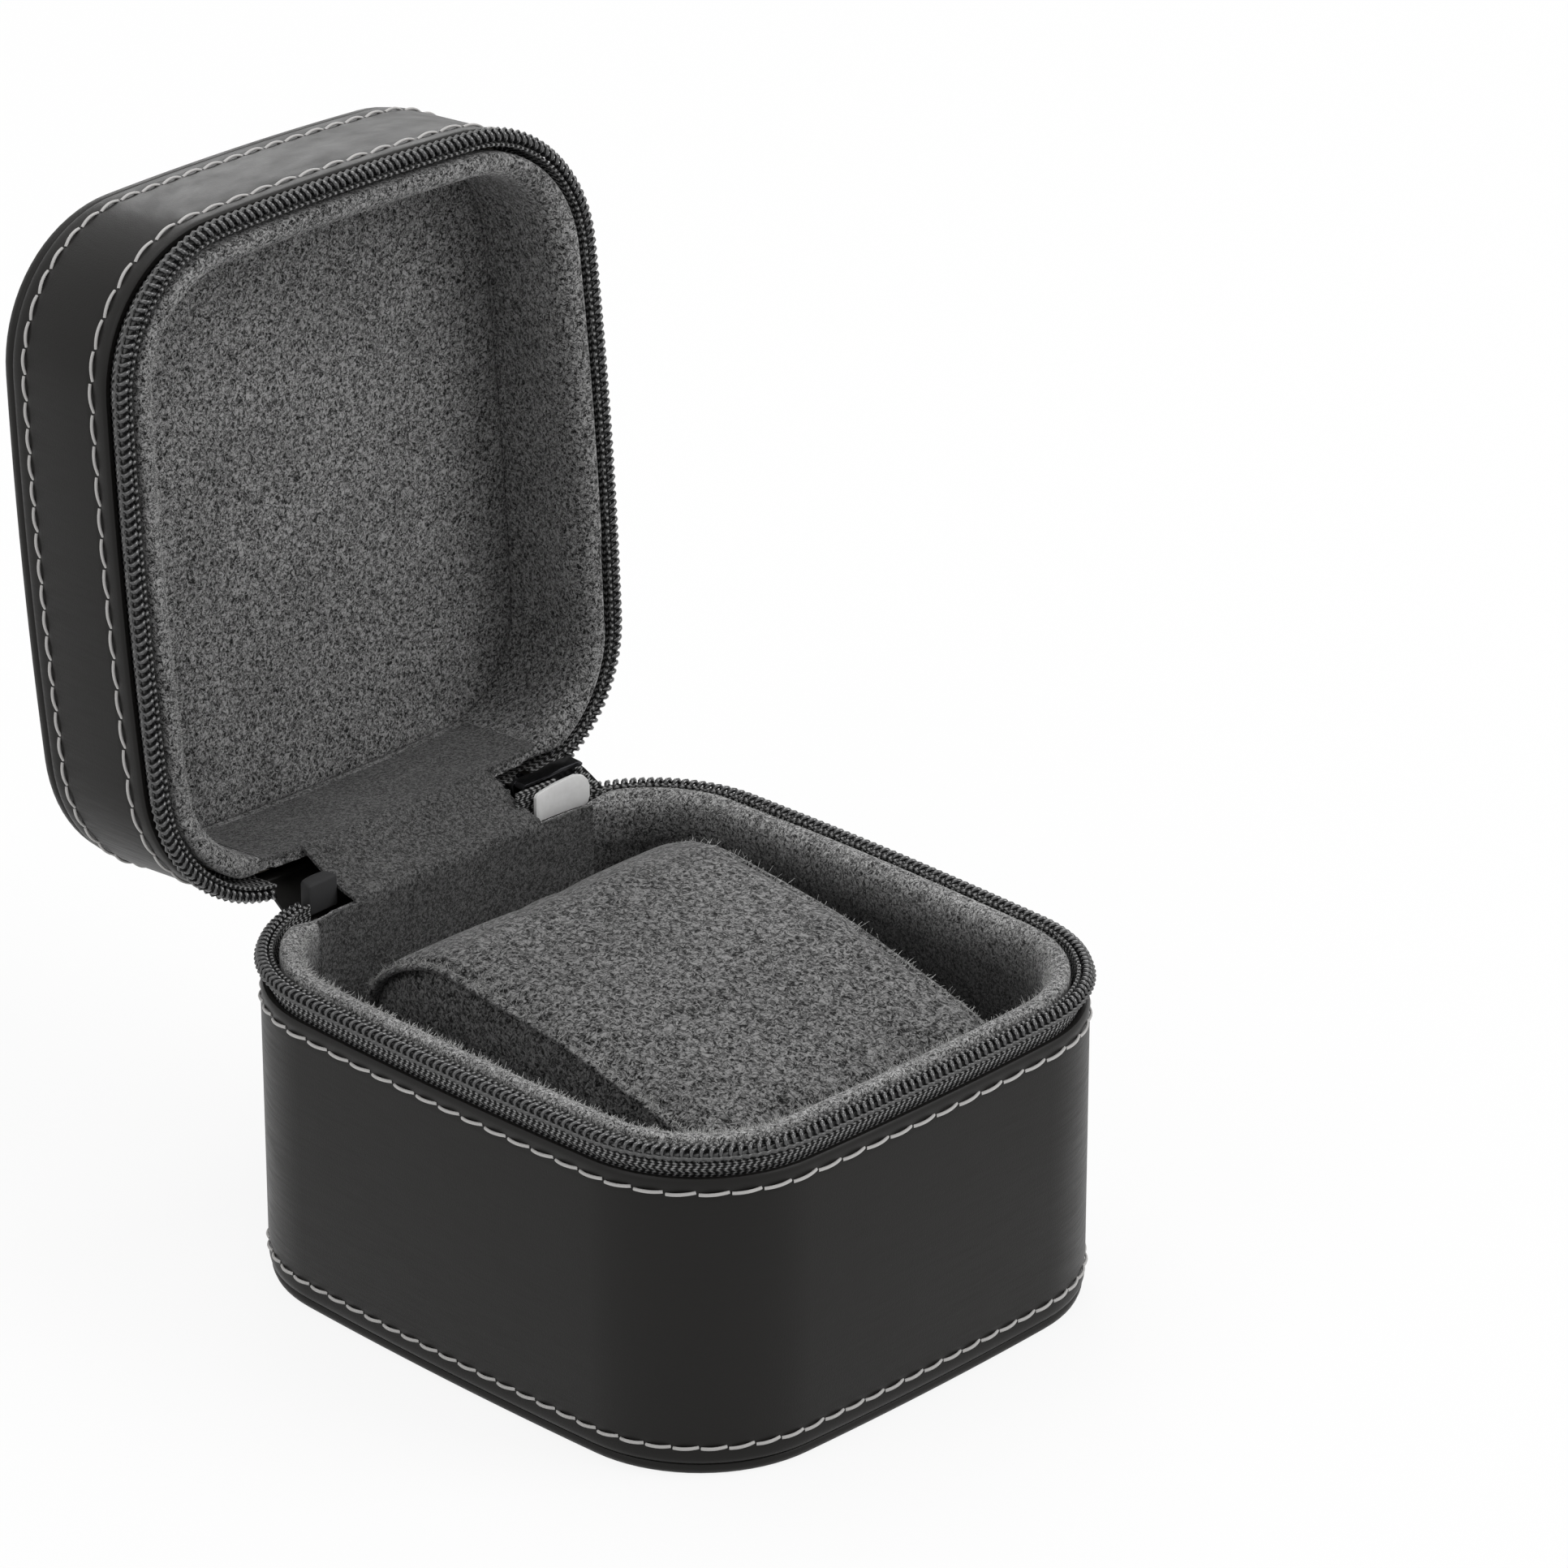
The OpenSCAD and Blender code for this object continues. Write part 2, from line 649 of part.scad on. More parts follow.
// ---- pull ----
link_head = link_bar + bridge_d / 2 + 0.05;
link_foot_z = link_head - link_h;
pin_z = link_foot_z + link_pin_d / 2;
module link_outer(cut) {
    polygon([
        [-link_top_w / 2 + 0.7 + cut, link_head - cut], [link_top_w / 2 - 0.7 - cut, link_head - cut],
        [link_top_w / 2 - cut, link_head - 0.7 - cut],
        [link_bottom_w / 2 - cut, link_foot_z + 1.2], [link_bottom_w / 2 - 0.5 - cut, link_foot_z + cut],
        [-link_bottom_w / 2 + 0.5 + cut, link_foot_z + cut], [-link_bottom_w / 2 + cut, link_foot_z + 1.2],
        [-link_top_w / 2 + cut, link_head - 0.7 - cut]
    ]);
}
module link_inner() {
    top = link_top_w / 2 - link_bar;
    foot = link_bottom_w / 2 - link_foot;
    polygon([
        [-top + 0.3, link_head - link_bar], [top - 0.3, link_head - link_bar],
        [top, link_head - link_bar - 0.3], [foot, pin_z + 0.4], [foot, link_foot_z - over],
        [-foot, link_foot_z - over], [-foot, pin_z + 0.4], [-top, link_head - link_bar - 0.3]
    ]);
}
// a flat piece of thickness t in the plane square to the chain, centred on the bridge bar
module square_on(t) {
    translate([-t / 2, bridge_out, 0])
        rotate([90, 0, 90])
            linear_extrude(t)
                children();
}
module pull_link() {
    bevel = 0.3;
    color("#26272a")
        at_slider() {
            union() {
                difference() {
                    union() {
                        square_on(link_t - 2 * bevel)
                            link_outer(0);
                        square_on(link_t)
                            link_outer(bevel);
                    }
                    square_on(link_t + 2 * over)
                        link_inner();
                }
                translate([0, bridge_out - link_bottom_w / 2 + link_foot / 2, pin_z])
                    rotate([-90, 0, 0])
                        cylinder(h = link_bottom_w - link_foot, d = link_pin_d, $fn = 32);
            }
        }
}
barrel_gap = 0.15;
barrel_d = link_pin_d + 1.8;
barrel_w = link_bottom_w - 2 * link_foot - 0.3;
shoulder_z = pin_z - barrel_d / 2;
module tab_outer(cut) {
    w = tab_w / 2 - cut;
    z1 = shoulder_z - cut;
    z0 = shoulder_z - tab_len + cut;
    polygon([
        [-w + 0.9, z1], [w - 0.9, z1], [w, z1 - 0.9], [w, z0 + 0.9], [w - 0.9, z0],
        [-w + 0.9, z0], [-w, z0 + 0.9], [-w, z1 - 0.9]
    ]);
}
module pull_tab() {
    bevel = 0.35;
    window_z = shoulder_z - tab_len + tab_foot;
    color("#202124")
        at_slider() {
            difference() {
                union() {
                    square_on(tab_t - 2 * bevel)
                        tab_outer(0);
                    square_on(tab_t)
                        tab_outer(bevel);
                    square_on(tab_t)
                        translate([-barrel_w / 2, shoulder_z - 1])
                            square([barrel_w, barrel_d / 2 + 1]);
                    translate([0, bridge_out - barrel_w / 2, pin_z])
                        rotate([-90, 0, 0])
                            cylinder(h = barrel_w, d = barrel_d, $fn = 40);
                }
                translate([0, bridge_out - tab_w, pin_z])
                    rotate([-90, 0, 0])
                        cylinder(h = 2 * tab_w, d = link_pin_d + 2 * barrel_gap, $fn = 40);
                square_on(tab_t + 2 * over)
                    translate([-tab_window_w / 2, window_z])
                        square([tab_window_w, tab_window_h]);
            }
        }
}

// ---- pillow ----
pillow_half = case_w / 2 - lining_face - pillow_side_gap;
pillow_z = floor_z + pillow_seat_gap;
pillow_h = pillow_end_h - pillow_z;
// the end view of the pillow: shares of its half depth and of its height, from the back foot
// up the steep back to the ridge, then down the long front slope to the front foot
pillow_shape = [
    [0.5, 0], [0.7, 0.005], [0.79, 0.06], [0.825, 0.25], [0.83, 0.5], [0.82, 0.66],
    [0.79, 0.8], [0.725, 0.885], [0.6, 0.96], [0.44, 1], [0.21, 0.985], [-0.16, 0.945],
    [-0.45, 0.884], [-0.62, 0.845], [-0.78, 0.8], [-0.89, 0.75], [-0.955, 0.66],
    [-0.98, 0.45], [-0.975, 0.2], [-0.94, 0.06], [-0.85, 0.005], [-0.65, 0]
];
function spline(a, b, c, d, t) = 0.5 * (2 * b + t * (c - a)
    + t * t * (2 * a - 5 * b + 4 * c - d) + t * t * t * (3 * b - a - 3 * c + d));
// the closed shape with two steps from each point to the next, kept on or above its foot
function rounded(p) = let (n = len(p))
    [for (i = [0:n - 1], k = [0:1])
        let (q = spline(p[(i + n - 1) % n], p[i], p[(i + 1) % n], p[(i + 2) % n], k / 2))
        [q[0], max(q[1], 0)]];
pillow_ring = rounded(pillow_shape);
// inset of a point of the end view, measured along its own normal
function inward(p, i, d) = let (n = len(p), u = p[(i + 1) % n] - p[(i + n - 1) % n])
    p[i] + d * [-u[1], u[0]] / norm(u);
// the pillow's section at x, inset by d: it narrows where the corners of the case come in
function pillow_at(x, d) = let (
    k = wall_y(x, lining_face + pillow_gap),
    m = pillow_h + pillow_crown * (1 - pow(x / pillow_half, 2)),
    p = [for (q = pillow_ring) [q[0] * k, pillow_z + q[1] * m]])
    [for (i = [0:len(p) - 1]) let (q = inward(p, i, d)) [x, q[0], q[1]]];
// a section drawn in toward its middle by the factor s
function drawn_in(p, s) = let (n = len(p), m = [for (k = [0:2]) sum(p, k) / n])
    [for (q = p) [q[0], m[1] + (q[1] - m[1]) * s, m[2] + (q[2] - m[2]) * s]];
function sum(p, k, i = 0) = i == len(p) ? 0 : p[i][k] + sum(p, k, i + 1);
function stations(h) = [for (f = [-1, -0.93, -0.8, -0.6, -0.3, 0, 0.3, 0.6, 0.8, 0.93, 1]) f * h];
// the foam block's size as a share of the pillow's, which leaves room for the sleeve
core_share = 0.93;
module pillow_core() {
    color("#d5d0c4")
        skin([for (x = stations(pillow_half - pillow_recess - 1.6))
            drawn_in(pillow_at(x, 0), core_share)]);
}
module pillow_cover() {
    color("#6d6b6c")
        skin(concat([for (x = stations(pillow_half)) pillow_at(x, 0)],
            reversed([for (x = stations(pillow_half)) pillow_at(x, pillow_skin)])), true);
}
module pillow_end() {
    x0 = pillow_half - pillow_recess - 1.1;
    x1 = pillow_half - pillow_recess;
    inset = pillow_skin + 0.3;
    color("#4a494a")
        skin([
            pillow_at(x0, inset), pillow_at(x1, inset),
            drawn_in(pillow_at(x1 + 0.55 * pillow_end_bulge, inset), 0.9),
            drawn_in(pillow_at(x1 + 0.9 * pillow_end_bulge, inset), 0.7),
            drawn_in(pillow_at(x1 + pillow_end_bulge, inset), 0.4)
        ]);
}
module pillow_end_left() {
    mirror([1, 0, 0])
        pillow_end();
}
module pillow_end_right() {
    pillow_end();
}

base_bottom_panel();
base_side_cover();
base_wall_board();
base_floor_board();
base_lining_wall();
base_lining_floor();
base_zipper_tape();
base_zipper_coil();
zipper_tail();
zipper_left_end();
hinge_outer_strip();
hinge_inner_strip();
lid_side_cover();
lid_top_panel();
lid_top_padding();
lid_top_board();
lid_wall_board();
lid_lining_wall();
lid_lining_top();
lid_zipper_tape();
lid_zipper_coil();
slider_body();
pull_link();
pull_tab();
pillow_core();
pillow_cover();
pillow_end_left();
pillow_end_right();
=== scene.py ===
# %% [markdown]
# # A travel case for one watch
# The case is a deep leather base and a shallow lid on a soft hinge, closed by a coil zip.
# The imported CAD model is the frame: it gives the joints and the place of every piece, and
# this lesson dresses it. We build the leather, the zip, the lining and the pillow with
# mesh operators, and give each its own finish. All lengths are typed in millimetres and
# made metres at the end of each piece.

# %% Load the frame
import math, random
import bmesh, bpy
from mathutils import Matrix, Vector
from mathutils.kdtree import KDTree


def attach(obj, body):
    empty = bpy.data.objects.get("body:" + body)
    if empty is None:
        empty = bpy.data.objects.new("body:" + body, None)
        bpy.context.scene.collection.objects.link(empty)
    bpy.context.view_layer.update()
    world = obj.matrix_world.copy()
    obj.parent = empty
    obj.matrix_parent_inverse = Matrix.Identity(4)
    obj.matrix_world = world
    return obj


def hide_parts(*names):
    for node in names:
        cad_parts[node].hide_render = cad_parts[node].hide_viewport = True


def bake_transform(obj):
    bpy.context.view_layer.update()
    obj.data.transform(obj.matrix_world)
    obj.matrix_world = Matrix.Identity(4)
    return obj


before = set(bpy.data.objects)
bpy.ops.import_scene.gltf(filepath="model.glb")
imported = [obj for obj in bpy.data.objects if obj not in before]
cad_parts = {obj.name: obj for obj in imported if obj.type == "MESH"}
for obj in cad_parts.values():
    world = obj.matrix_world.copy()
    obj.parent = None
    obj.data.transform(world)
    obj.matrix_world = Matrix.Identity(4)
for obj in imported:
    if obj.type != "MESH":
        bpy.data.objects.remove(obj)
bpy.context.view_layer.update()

MM = 0.001

# %% [markdown]
# ## The camera
# The photograph was taken with a long lens from the front left corner, 25 degrees above the
# table. The camera is set first, so that every later piece can be judged from it.

# %% Camera
camera_data = bpy.data.cameras.new("camera")
camera_data.sensor_width = 36
camera_data.lens = 173.09
camera_data.clip_end = 20
camera = bpy.data.objects.new("camera", camera_data)
bpy.context.scene.collection.objects.link(camera)
right, up = (0.70035, -0.71380, 0), (0.30418, 0.29845, 0.90466)
back, stand = (-0.64575, -0.63357, 0.42614), (-0.69102, -0.70049, 0.54340)
camera.matrix_world = Matrix((*zip(right, up, back, stand), (0, 0, 0, 1)))
bpy.context.scene.camera = camera
print("camera stands", round(Vector(stand).length, 3), "m away")

# %% [markdown]
# ## Studio
# A white studio is three things: a pale floor, an even sky, and a few large soft lamps.
# The floor shows nearly white to the camera and still takes the shadow. The lamps stay weak,
# because black leather shows its shape by what it mirrors, not by how much light it gets.

# %% A class for shader sums, and a material that adds any node
OBJECT = 3          # the output of the Texture Coordinate node that gives Object coordinates


class Value:
    """One output of a node. Sums on values add Math nodes."""

    def __init__(self, tree, socket):
        self.tree, self.socket = tree, socket

    def math(self, kind, *terms):
        node = self.tree.nodes.new("ShaderNodeMath")
        node.operation = kind
        for slot, term in zip(node.inputs, terms):
            if isinstance(term, Value):
                self.tree.links.new(term.socket, slot)
            else:
                slot.default_value = term
        return Value(self.tree, node.outputs[0])

    def __add__(self, other):
        return self.math("ADD", self, other)

    def __radd__(self, other):
        return self.math("ADD", other, self)

    def __sub__(self, other):
        return self.math("SUBTRACT", self, other)

    def __mul__(self, other):
        return self.math("MULTIPLY", self, other)

    def __truediv__(self, other):
        return self.math("DIVIDE", self, other)


class Finish:
    """A material whose nodes are added one call at a time."""

    def __init__(self, name, world=None):
        self.material = world or bpy.data.materials.new(name)
        self.material.use_nodes = True
        self.tree = self.material.node_tree
        self.tree.nodes.clear()

    def node(self, kind, settings=None, inputs=None, out=0):
        node = self.tree.nodes.new(kind)
        for key, value in (settings or {}).items():
            if key == "stops":
                ramp = node.color_ramp
                while len(ramp.elements) < len(value):
                    ramp.elements.new(0.5)
                for element, (place, shade) in zip(ramp.elements, value):
                    element.position = place
                    element.color = (shade, shade, shade, 1)
            else:
                setattr(node, key, value)
        for key, value in (inputs or {}).items():
            slot = node.inputs[key]
            if isinstance(value, Value):
                self.tree.links.new(value.socket, slot)
            else:
                slot.default_value = value
        if len(node.outputs):
            return Value(self.tree, node.outputs[out])

    def object_place(self, scale=1000.0):
        """Object coordinates in units of 1/scale metres."""
        return self.node("ShaderNodeMapping", {}, {
            "Vector": self.node("ShaderNodeTexCoord", out=OBJECT), "Scale": (scale, scale, scale)})

    def split(self, place):
        """The x, y and z of a place."""
        parts = self.tree.nodes.new("ShaderNodeSeparateXYZ")
        self.tree.links.new(place.socket, parts.inputs[0])
        return [Value(self.tree, socket) for socket in parts.outputs]

    def mix(self, share, first, second, blend="MIX"):
        """Two colours mixed by a share."""
        return self.node("ShaderNodeMix", {"data_type": "RGBA", "blend_type": blend}, {
            0: share, 6: first, 7: second}, out=2)

    def noise(self, place, scale, detail=2.0, rough=0.5):
        return self.node("ShaderNodeTexNoise", {}, {
            "Vector": place, "Scale": scale, "Detail": detail, "Roughness": rough})

    def ramp(self, value, *stops):
        return self.node("ShaderNodeValToRGB", {"stops": stops}, {"Fac": value})

    def bump(self, height, depth_mm, strength=1.0, under=None):
        inputs = {"Height": height, "Distance": depth_mm * MM, "Strength": strength}
        if under is not None:
            inputs["Normal"] = under
        return self.node("ShaderNodeBump", {}, inputs)

    def surface(self, **sockets):
        names = {key.replace("_", " "): value for key, value in sockets.items()}
        shader = self.node("ShaderNodeBsdfPrincipled", {}, names)
        self.node("ShaderNodeOutputMaterial", {}, {"Surface": shader})
        return self.material


def seen(finish):
    """1 where the camera looks straight at a thing, in a mirror or through glass."""
    rays = finish.tree.nodes.new("ShaderNodeLightPath")
    parts = [Value(finish.tree, rays.outputs[name])
             for name in ("Is Camera Ray", "Is Glossy Ray", "Is Transmission Ray")]
    return parts[0].math("MINIMUM", parts[0] + parts[1] + parts[2], 1.0)


print("shader helpers ready")

# %% [markdown]
# With the helpers ready, the sky, the floor and four soft lamps follow.

# %% Sky, floor and lamps
bpy.context.scene.view_settings.view_transform = "Standard"
sky = bpy.data.worlds.new("sky")
bpy.context.scene.world = sky
look = Finish("sky", sky)
lit = look.node("ShaderNodeBackground", {}, {"Color": (1, 1, 1, 1), "Strength": 0.42})
shown = look.node("ShaderNodeBackground", {}, {"Color": (1, 1, 1, 1), "Strength": 1.0})
look.node("ShaderNodeOutputWorld", {}, {"Surface": look.node(
    "ShaderNodeMixShader", {}, {0: seen(look), 1: lit, 2: shown})})

floor_look = Finish("studio_floor")
paper = floor_look.node("ShaderNodeBsdfDiffuse", {}, {"Color": (0.9, 0.9, 0.9, 1)})
glow = floor_look.node("ShaderNodeEmission", {}, {"Color": (1, 1, 1, 1), "Strength": 1.0})
floor_look.node("ShaderNodeOutputMaterial", {}, {"Surface": floor_look.node(
    "ShaderNodeMixShader", {}, {0: seen(floor_look) * 0.88, 1: paper, 2: glow})})
floor_mesh = bmesh.new()
bmesh.ops.create_circle(floor_mesh, cap_ends=True, segments=48, radius=3.0)
floor_data = bpy.data.meshes.new("studio_floor")
floor_mesh.to_mesh(floor_data)
floor_mesh.free()
floor_data.materials.append(floor_look.material)
floor = bpy.data.objects.new("studio_floor", floor_data)
bpy.context.scene.collection.objects.link(floor)


def lamp(name, place, aim, size, watts):
    data = bpy.data.lights.new(name, "AREA")
    data.shape, data.size, data.size_y, data.energy = "RECTANGLE", size[0], size[1], watts
    item = bpy.data.objects.new(name, data)
    item.location = place
    item.rotation_euler = (Vector(aim) - Vector(place)).to_track_quat("-Z", "Y").to_euler()
    bpy.context.scene.collection.objects.link(item)


lamp("key", (0.75, -1.05, 1.2), (0, 0, 0.07), (0.9, 0.9), 12)
lamp("side", (-1.1, 0.1, 0.9), (0, 0, 0.07), (0.8, 0.8), 3)
lamp("top", (0.1, 0.4, 1.5), (0, 0, 0.06), (1.1, 1.1), 8)
lamp("back", (1.05, 1.15, 0.72), (0, 0.05, 0.13), (0.7, 0.5), 4)
print("studio ready")

# %% [markdown]
# ## The outline that everything follows
# Seen from above the case is a rectangle with bowed sides and round corners: eight arcs that
# run smoothly into one another. A profile that is spun round one arc after the other makes
# any wall of the case, so one helper makes the leather, the tapes and the lining.

# %% Arcs
CASE_W, CASE_D, CORNER_R, BOW = 95.0, 105.5, 23.0, 1.85
ZIP_Z = 52.8
END_R = (CASE_W ** 2 / 4 + BOW ** 2) / (2 * BOW)
SIDE_R = (CASE_D ** 2 / 4 + BOW ** 2) / (2 * BOW)
END_C, SIDE_C = END_R - CASE_D / 2, SIDE_R - CASE_W / 2
span = math.hypot(SIDE_C, END_C)
along = ((END_R - CORNER_R) ** 2 - (SIDE_R - CORNER_R) ** 2 + span ** 2) / (2 * span)
away = math.sqrt((END_R - CORNER_R) ** 2 - along ** 2)
CORNER_X = (END_C * away - SIDE_C * along) / span
CORNER_Y = (END_C * along + SIDE_C * away) / span - END_C
END_A = math.degrees(math.atan2(CORNER_Y + END_C, CORNER_X))
SIDE_A = math.degrees(math.atan2(CORNER_Y, CORNER_X + SIDE_C))


def arcs(first=90.0, last=450.0):
    """Centre, radius, start and end angle of each arc, anticlockwise from the hinge side."""
    return [
        ((0, -END_C), END_R, first, 180 - END_A),
        ((-CORNER_X, CORNER_Y), CORNER_R, 180 - END_A, 180 - SIDE_A),
        ((SIDE_C, 0), SIDE_R, 180 - SIDE_A, 180 + SIDE_A),
        ((-CORNER_X, -CORNER_Y), CORNER_R, 180 + SIDE_A, 180 + END_A),
        ((0, END_C), END_R, 180 + END_A, 360 - END_A),
        ((CORNER_X, -CORNER_Y), CORNER_R, 360 - END_A, 360 - SIDE_A),
        ((-SIDE_C, 0), SIDE_R, 360 - SIDE_A, 360 + SIDE_A),
        ((CORNER_X, CORNER_Y), CORNER_R, 360 + SIDE_A, 360 + END_A),
        ((0, -END_C), END_R, 360 + END_A, last)]


def hinge_side_angle(x):
    """Angle on the hinge side's arc at a place x millimetres from the middle."""
    return 90 - math.degrees(math.asin(x / END_R))


RING = arcs()
ZIP_LEFT, ZIP_TAIL = -26.0, 17.0
ZIP_PATH = arcs(hinge_side_angle(ZIP_LEFT), 360 + hinge_side_angle(ZIP_TAIL))


def forward(path):
    """The same path, where a first arc that would run backwards is taken off the second."""
    (_, r0, a0, b0), (centre, r1, a1, b1) = path[:2]
    return [(centre, r1, a1 + (a0 - b0) * r0 / r1, b1)] + path[2:] if a0 > b0 else path


def path_length(path, inset=0.0):
    return sum((r - inset) * math.radians(b - a) for _, r, a, b in path)


def on_path(path, s, inset=0.0):
    """Point and outward direction at length s, measured on the line at that inset."""
    for centre, r, a, b in path:
        piece = (r - inset) * math.radians(b - a)
        if s <= piece or (centre, r, a, b) == path[-1]:
            angle = math.radians(a) + s / (r - inset)
            out = Vector((math.cos(angle), math.sin(angle), 0))
            return Vector((*centre, 0)) + (r - inset) * out, out
        s -= piece


def wall_y(x, inset):
    if abs(x) < CORNER_X + (CORNER_R - inset) * math.cos(math.radians(END_A)):
        return -END_C + math.sqrt((END_R - inset) ** 2 - x * x)
    return CORNER_Y + math.sqrt((CORNER_R - inset) ** 2 - (abs(x) - CORNER_X) ** 2)


def clamp(value):
    return max(0.0, min(1.0, value))


print("outline", round(path_length(RING), 1), "mm, zip", round(path_length(ZIP_PATH), 1), "mm")

# %% [markdown]
# The sweep takes a profile of insets and heights and spins it round one arc after the other.
# Every piece then goes through one function that brings it to metres, gives it its finish and
# lets it ride on its body. The lid's pieces are made closed and turned open with the lid.

# %% The sweep
def sweep(profile, path, whole=True, closed=True, corner_steps=18, side_steps=12):
    """Spins a profile of (inset, height) pairs along the arcs and returns the bmesh."""
    bm = bmesh.new()
    centre, r, a, _ = path[0]
    start = Vector((math.cos(math.radians(a)), math.sin(math.radians(a)), 0))
    line = [bm.verts.new(Vector((*centre, z)) + (r - t) * start) for t, z in profile]
    edges = [bm.edges.new(pair) for pair in zip(line, line[1:])]
    if closed:
        edges.append(bm.edges.new((line[-1], line[0])))
    geometry = line + edges
    for (cx, cy), r, a, b in path:
        steps = corner_steps if r == CORNER_R else side_steps
        geometry = bmesh.ops.spin(
            bm, geom=geometry, cent=(cx, cy, 0), axis=(0, 0, 1), dvec=(0, 0, 0),
            angle=math.radians(b - a), steps=steps, use_merge=False, use_normal_flip=False,
            use_duplicate=False)["geom_last"]
    bmesh.ops.remove_doubles(bm, verts=bm.verts, dist=0.001 if whole else 0.0001)
    if closed and not whole:
        bmesh.ops.holes_fill(bm, edges=[e for e in bm.edges if e.is_boundary])
    bmesh.ops.recalc_face_normals(bm, faces=bm.faces)
    return bm


LID_ANGLE, HINGE_Y, HINGE_Z = 94.6, CASE_D / 2 + 1.0, ZIP_Z - 2.6
OPENED = (Matrix.Translation((0, HINGE_Y, HINGE_Z))
          @ Matrix.Rotation(math.radians(-LID_ANGLE), 4, "X")
          @ Matrix.Translation((0, -HINGE_Y, -HINGE_Z)))


def finish_piece(bm, name, finish, body, stands_for=(), sharp=40, blend=None):
    """Turns a bmesh in millimetres into a finished, riding piece in metres."""
    bmesh.ops.recalc_face_normals(bm, faces=bm.faces)
    if body == "lid":
        bmesh.ops.transform(bm, matrix=OPENED, verts=bm.verts)
    bmesh.ops.scale(bm, vec=(MM, MM, MM), verts=bm.verts)
    data = bpy.data.meshes.new(name)
    bm.to_mesh(data)
    bm.free()
    data.shade_smooth()
    data.set_sharp_from_angle(angle=math.radians(sharp))
    data.materials.append(finish)
    piece = bpy.data.objects.new(name, data)
    bpy.context.scene.collection.objects.link(piece)
    if blend:
        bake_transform(piece)
    else:
        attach(piece, body)
    if stands_for:
        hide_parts(*stands_for)
    print(name, len(data.polygons), "faces")
    return piece


print("sweep ready")

# %% [markdown]
# ## Finishes
# Smooth coated leather is almost black, with a fine pressed grain that only shows in its
# highlights. It is rubbed and stretched along the walls, so a noise that is squeezed in one
# direction gives it faint streaks, and the lid's streaks are turned with the open lid.

# %% Leather
def leather(name, rough=0.42, tilt=0.0):
    tone = 0.0115
    look = Finish(name)
    place = look.object_place()
    cells = look.node("ShaderNodeTexVoronoi", {"feature": "DISTANCE_TO_EDGE"}, {
        "Vector": place, "Scale": 2.1, "Randomness": 0.9})
    pits = look.ramp(cells, (0.0, 0.0), (0.12, 1.0))
    fine = look.noise(place, 6.0, 3.0, 0.6)
    broad = look.noise(place, 0.05, 2.0, 0.5)
    along = look.node("ShaderNodeMapping", {}, {
        "Vector": look.node("ShaderNodeTexCoord", out=OBJECT),
        "Rotation": (math.radians(tilt), 0, 0), "Scale": (140, 140, 2600)})
    streak = look.noise(along, 1.0, 3.0, 0.6)
    grain = look.bump(pits * 0.6 + fine * 0.5 + streak * 0.4, 0.02, 0.5)
    soft = look.bump(look.noise(place, 0.16, 1.0, 0.4), 0.12, 0.25, grain)
    shade = look.mix(broad * 0.6 + streak * 0.4, (tone * 0.8, tone * 0.76, tone * 0.72, 1),
                     (tone * 1.26, tone * 1.18, tone * 1.1, 1))
    return look.surface(Base_Color=shade, Specular_IOR_Level=0.17, Normal=soft,
                        Roughness=rough + (broad - 0.5) * 0.16 + (streak - 0.5) * 0.3)


black_leather = leather("black_leather")
lid_leather = leather("lid_leather", tilt=LID_ANGLE)
panel_leather = leather("panel_leather", 0.45)

# %% [markdown]
# Suede is a dense short nap: its colour breaks up into light and dark specks. Two noises on
# a place that a third noise has pushed about give curled specks. In the base a painted shade
# darkens the tone down the walls, where little light reaches the nap, and the rim is painted light.

# %% Suede
def suede(name, tone, contrast=0.9, depth=0.3, grain=1.45, rise=None):
    """Short nap. Rise gives two heights and the two shares of the tone that hold there: a painted
    shade, darkest at the lower height.
    """
    look = Finish(name)
    place = look.object_place(1000 * grain)
    curl = look.node("ShaderNodeTexNoise", {}, {
        "Vector": place, "Scale": 0.9, "Detail": 1.0}, out=1)
    drift = look.node("ShaderNodeVectorMath", {"operation": "MULTIPLY_ADD"}, {
        0: curl, 1: (1.6, 1.6, 1.6), 2: place})
    fibre = look.noise(drift, 3.0, 1.0, 0.5)
    tuft = look.noise(drift, 1.3, 2.0, 0.6)
    wash = look.noise(place, 0.05, 2.0, 0.55)
    pile = fibre * 0.45 + tuft * 0.55
    mask = look.ramp(pile, (0.4, 0.0), (0.5, 0.4), (0.6, 1.0))
    dark = tuple(tone * (1 - contrast) * c for c in (1.0, 0.99, 0.985)) + (1,)
    light = tuple(tone * (1 + contrast * 1.3) * c for c in (1.0, 0.995, 0.99)) + (1,)
    tone_shift = look.ramp(wash, (0.3, 0.78), (0.7, 1.0))
    # Painted shade: below the rise the tone is darkened down the walls, where little light reaches.
    if rise:
        z = look.split(look.node("ShaderNodeTexCoord", out=OBJECT))[2]
        height = (z * 1000 - rise[0]) / (rise[1] - rise[0])
        tone_shift = tone_shift * look.ramp(height, (0.0, rise[2]), (1.0, rise[3]))
    shade = look.mix(1.0, look.mix(mask, dark, light), tone_shift, "MULTIPLY")
    return look.surface(Base_Color=shade, Roughness=0.95, Specular_IOR_Level=0.12,
                        Sheen_Weight=0.2, Sheen_Roughness=0.45,
                        Normal=look.bump(pile, depth, 1.0))


lid_suede = suede("lid_suede", 0.172, 0.95, grain=1.3)
# Painted light and shade: the base's rim is painted lighter than the lid's lining, and its walls
# darken to a quarter of that tone lower down.
base_suede = suede("base_suede", 0.245, rise=(44.6, 51.8, 0.25, 1.0))
hinge_suede = suede("hinge_suede", 0.092, 0.75, 0.18)
pillow_suede = suede("pillow_suede", 0.128, 0.98, depth=0.5, grain=0.95)
panel_suede = suede("end_panel_suede", 0.115, 0.95, grain=1.1)

# %% [markdown]
# The zip is woven tape and nylon, the slider and pull are plated metal, the thread is pale.

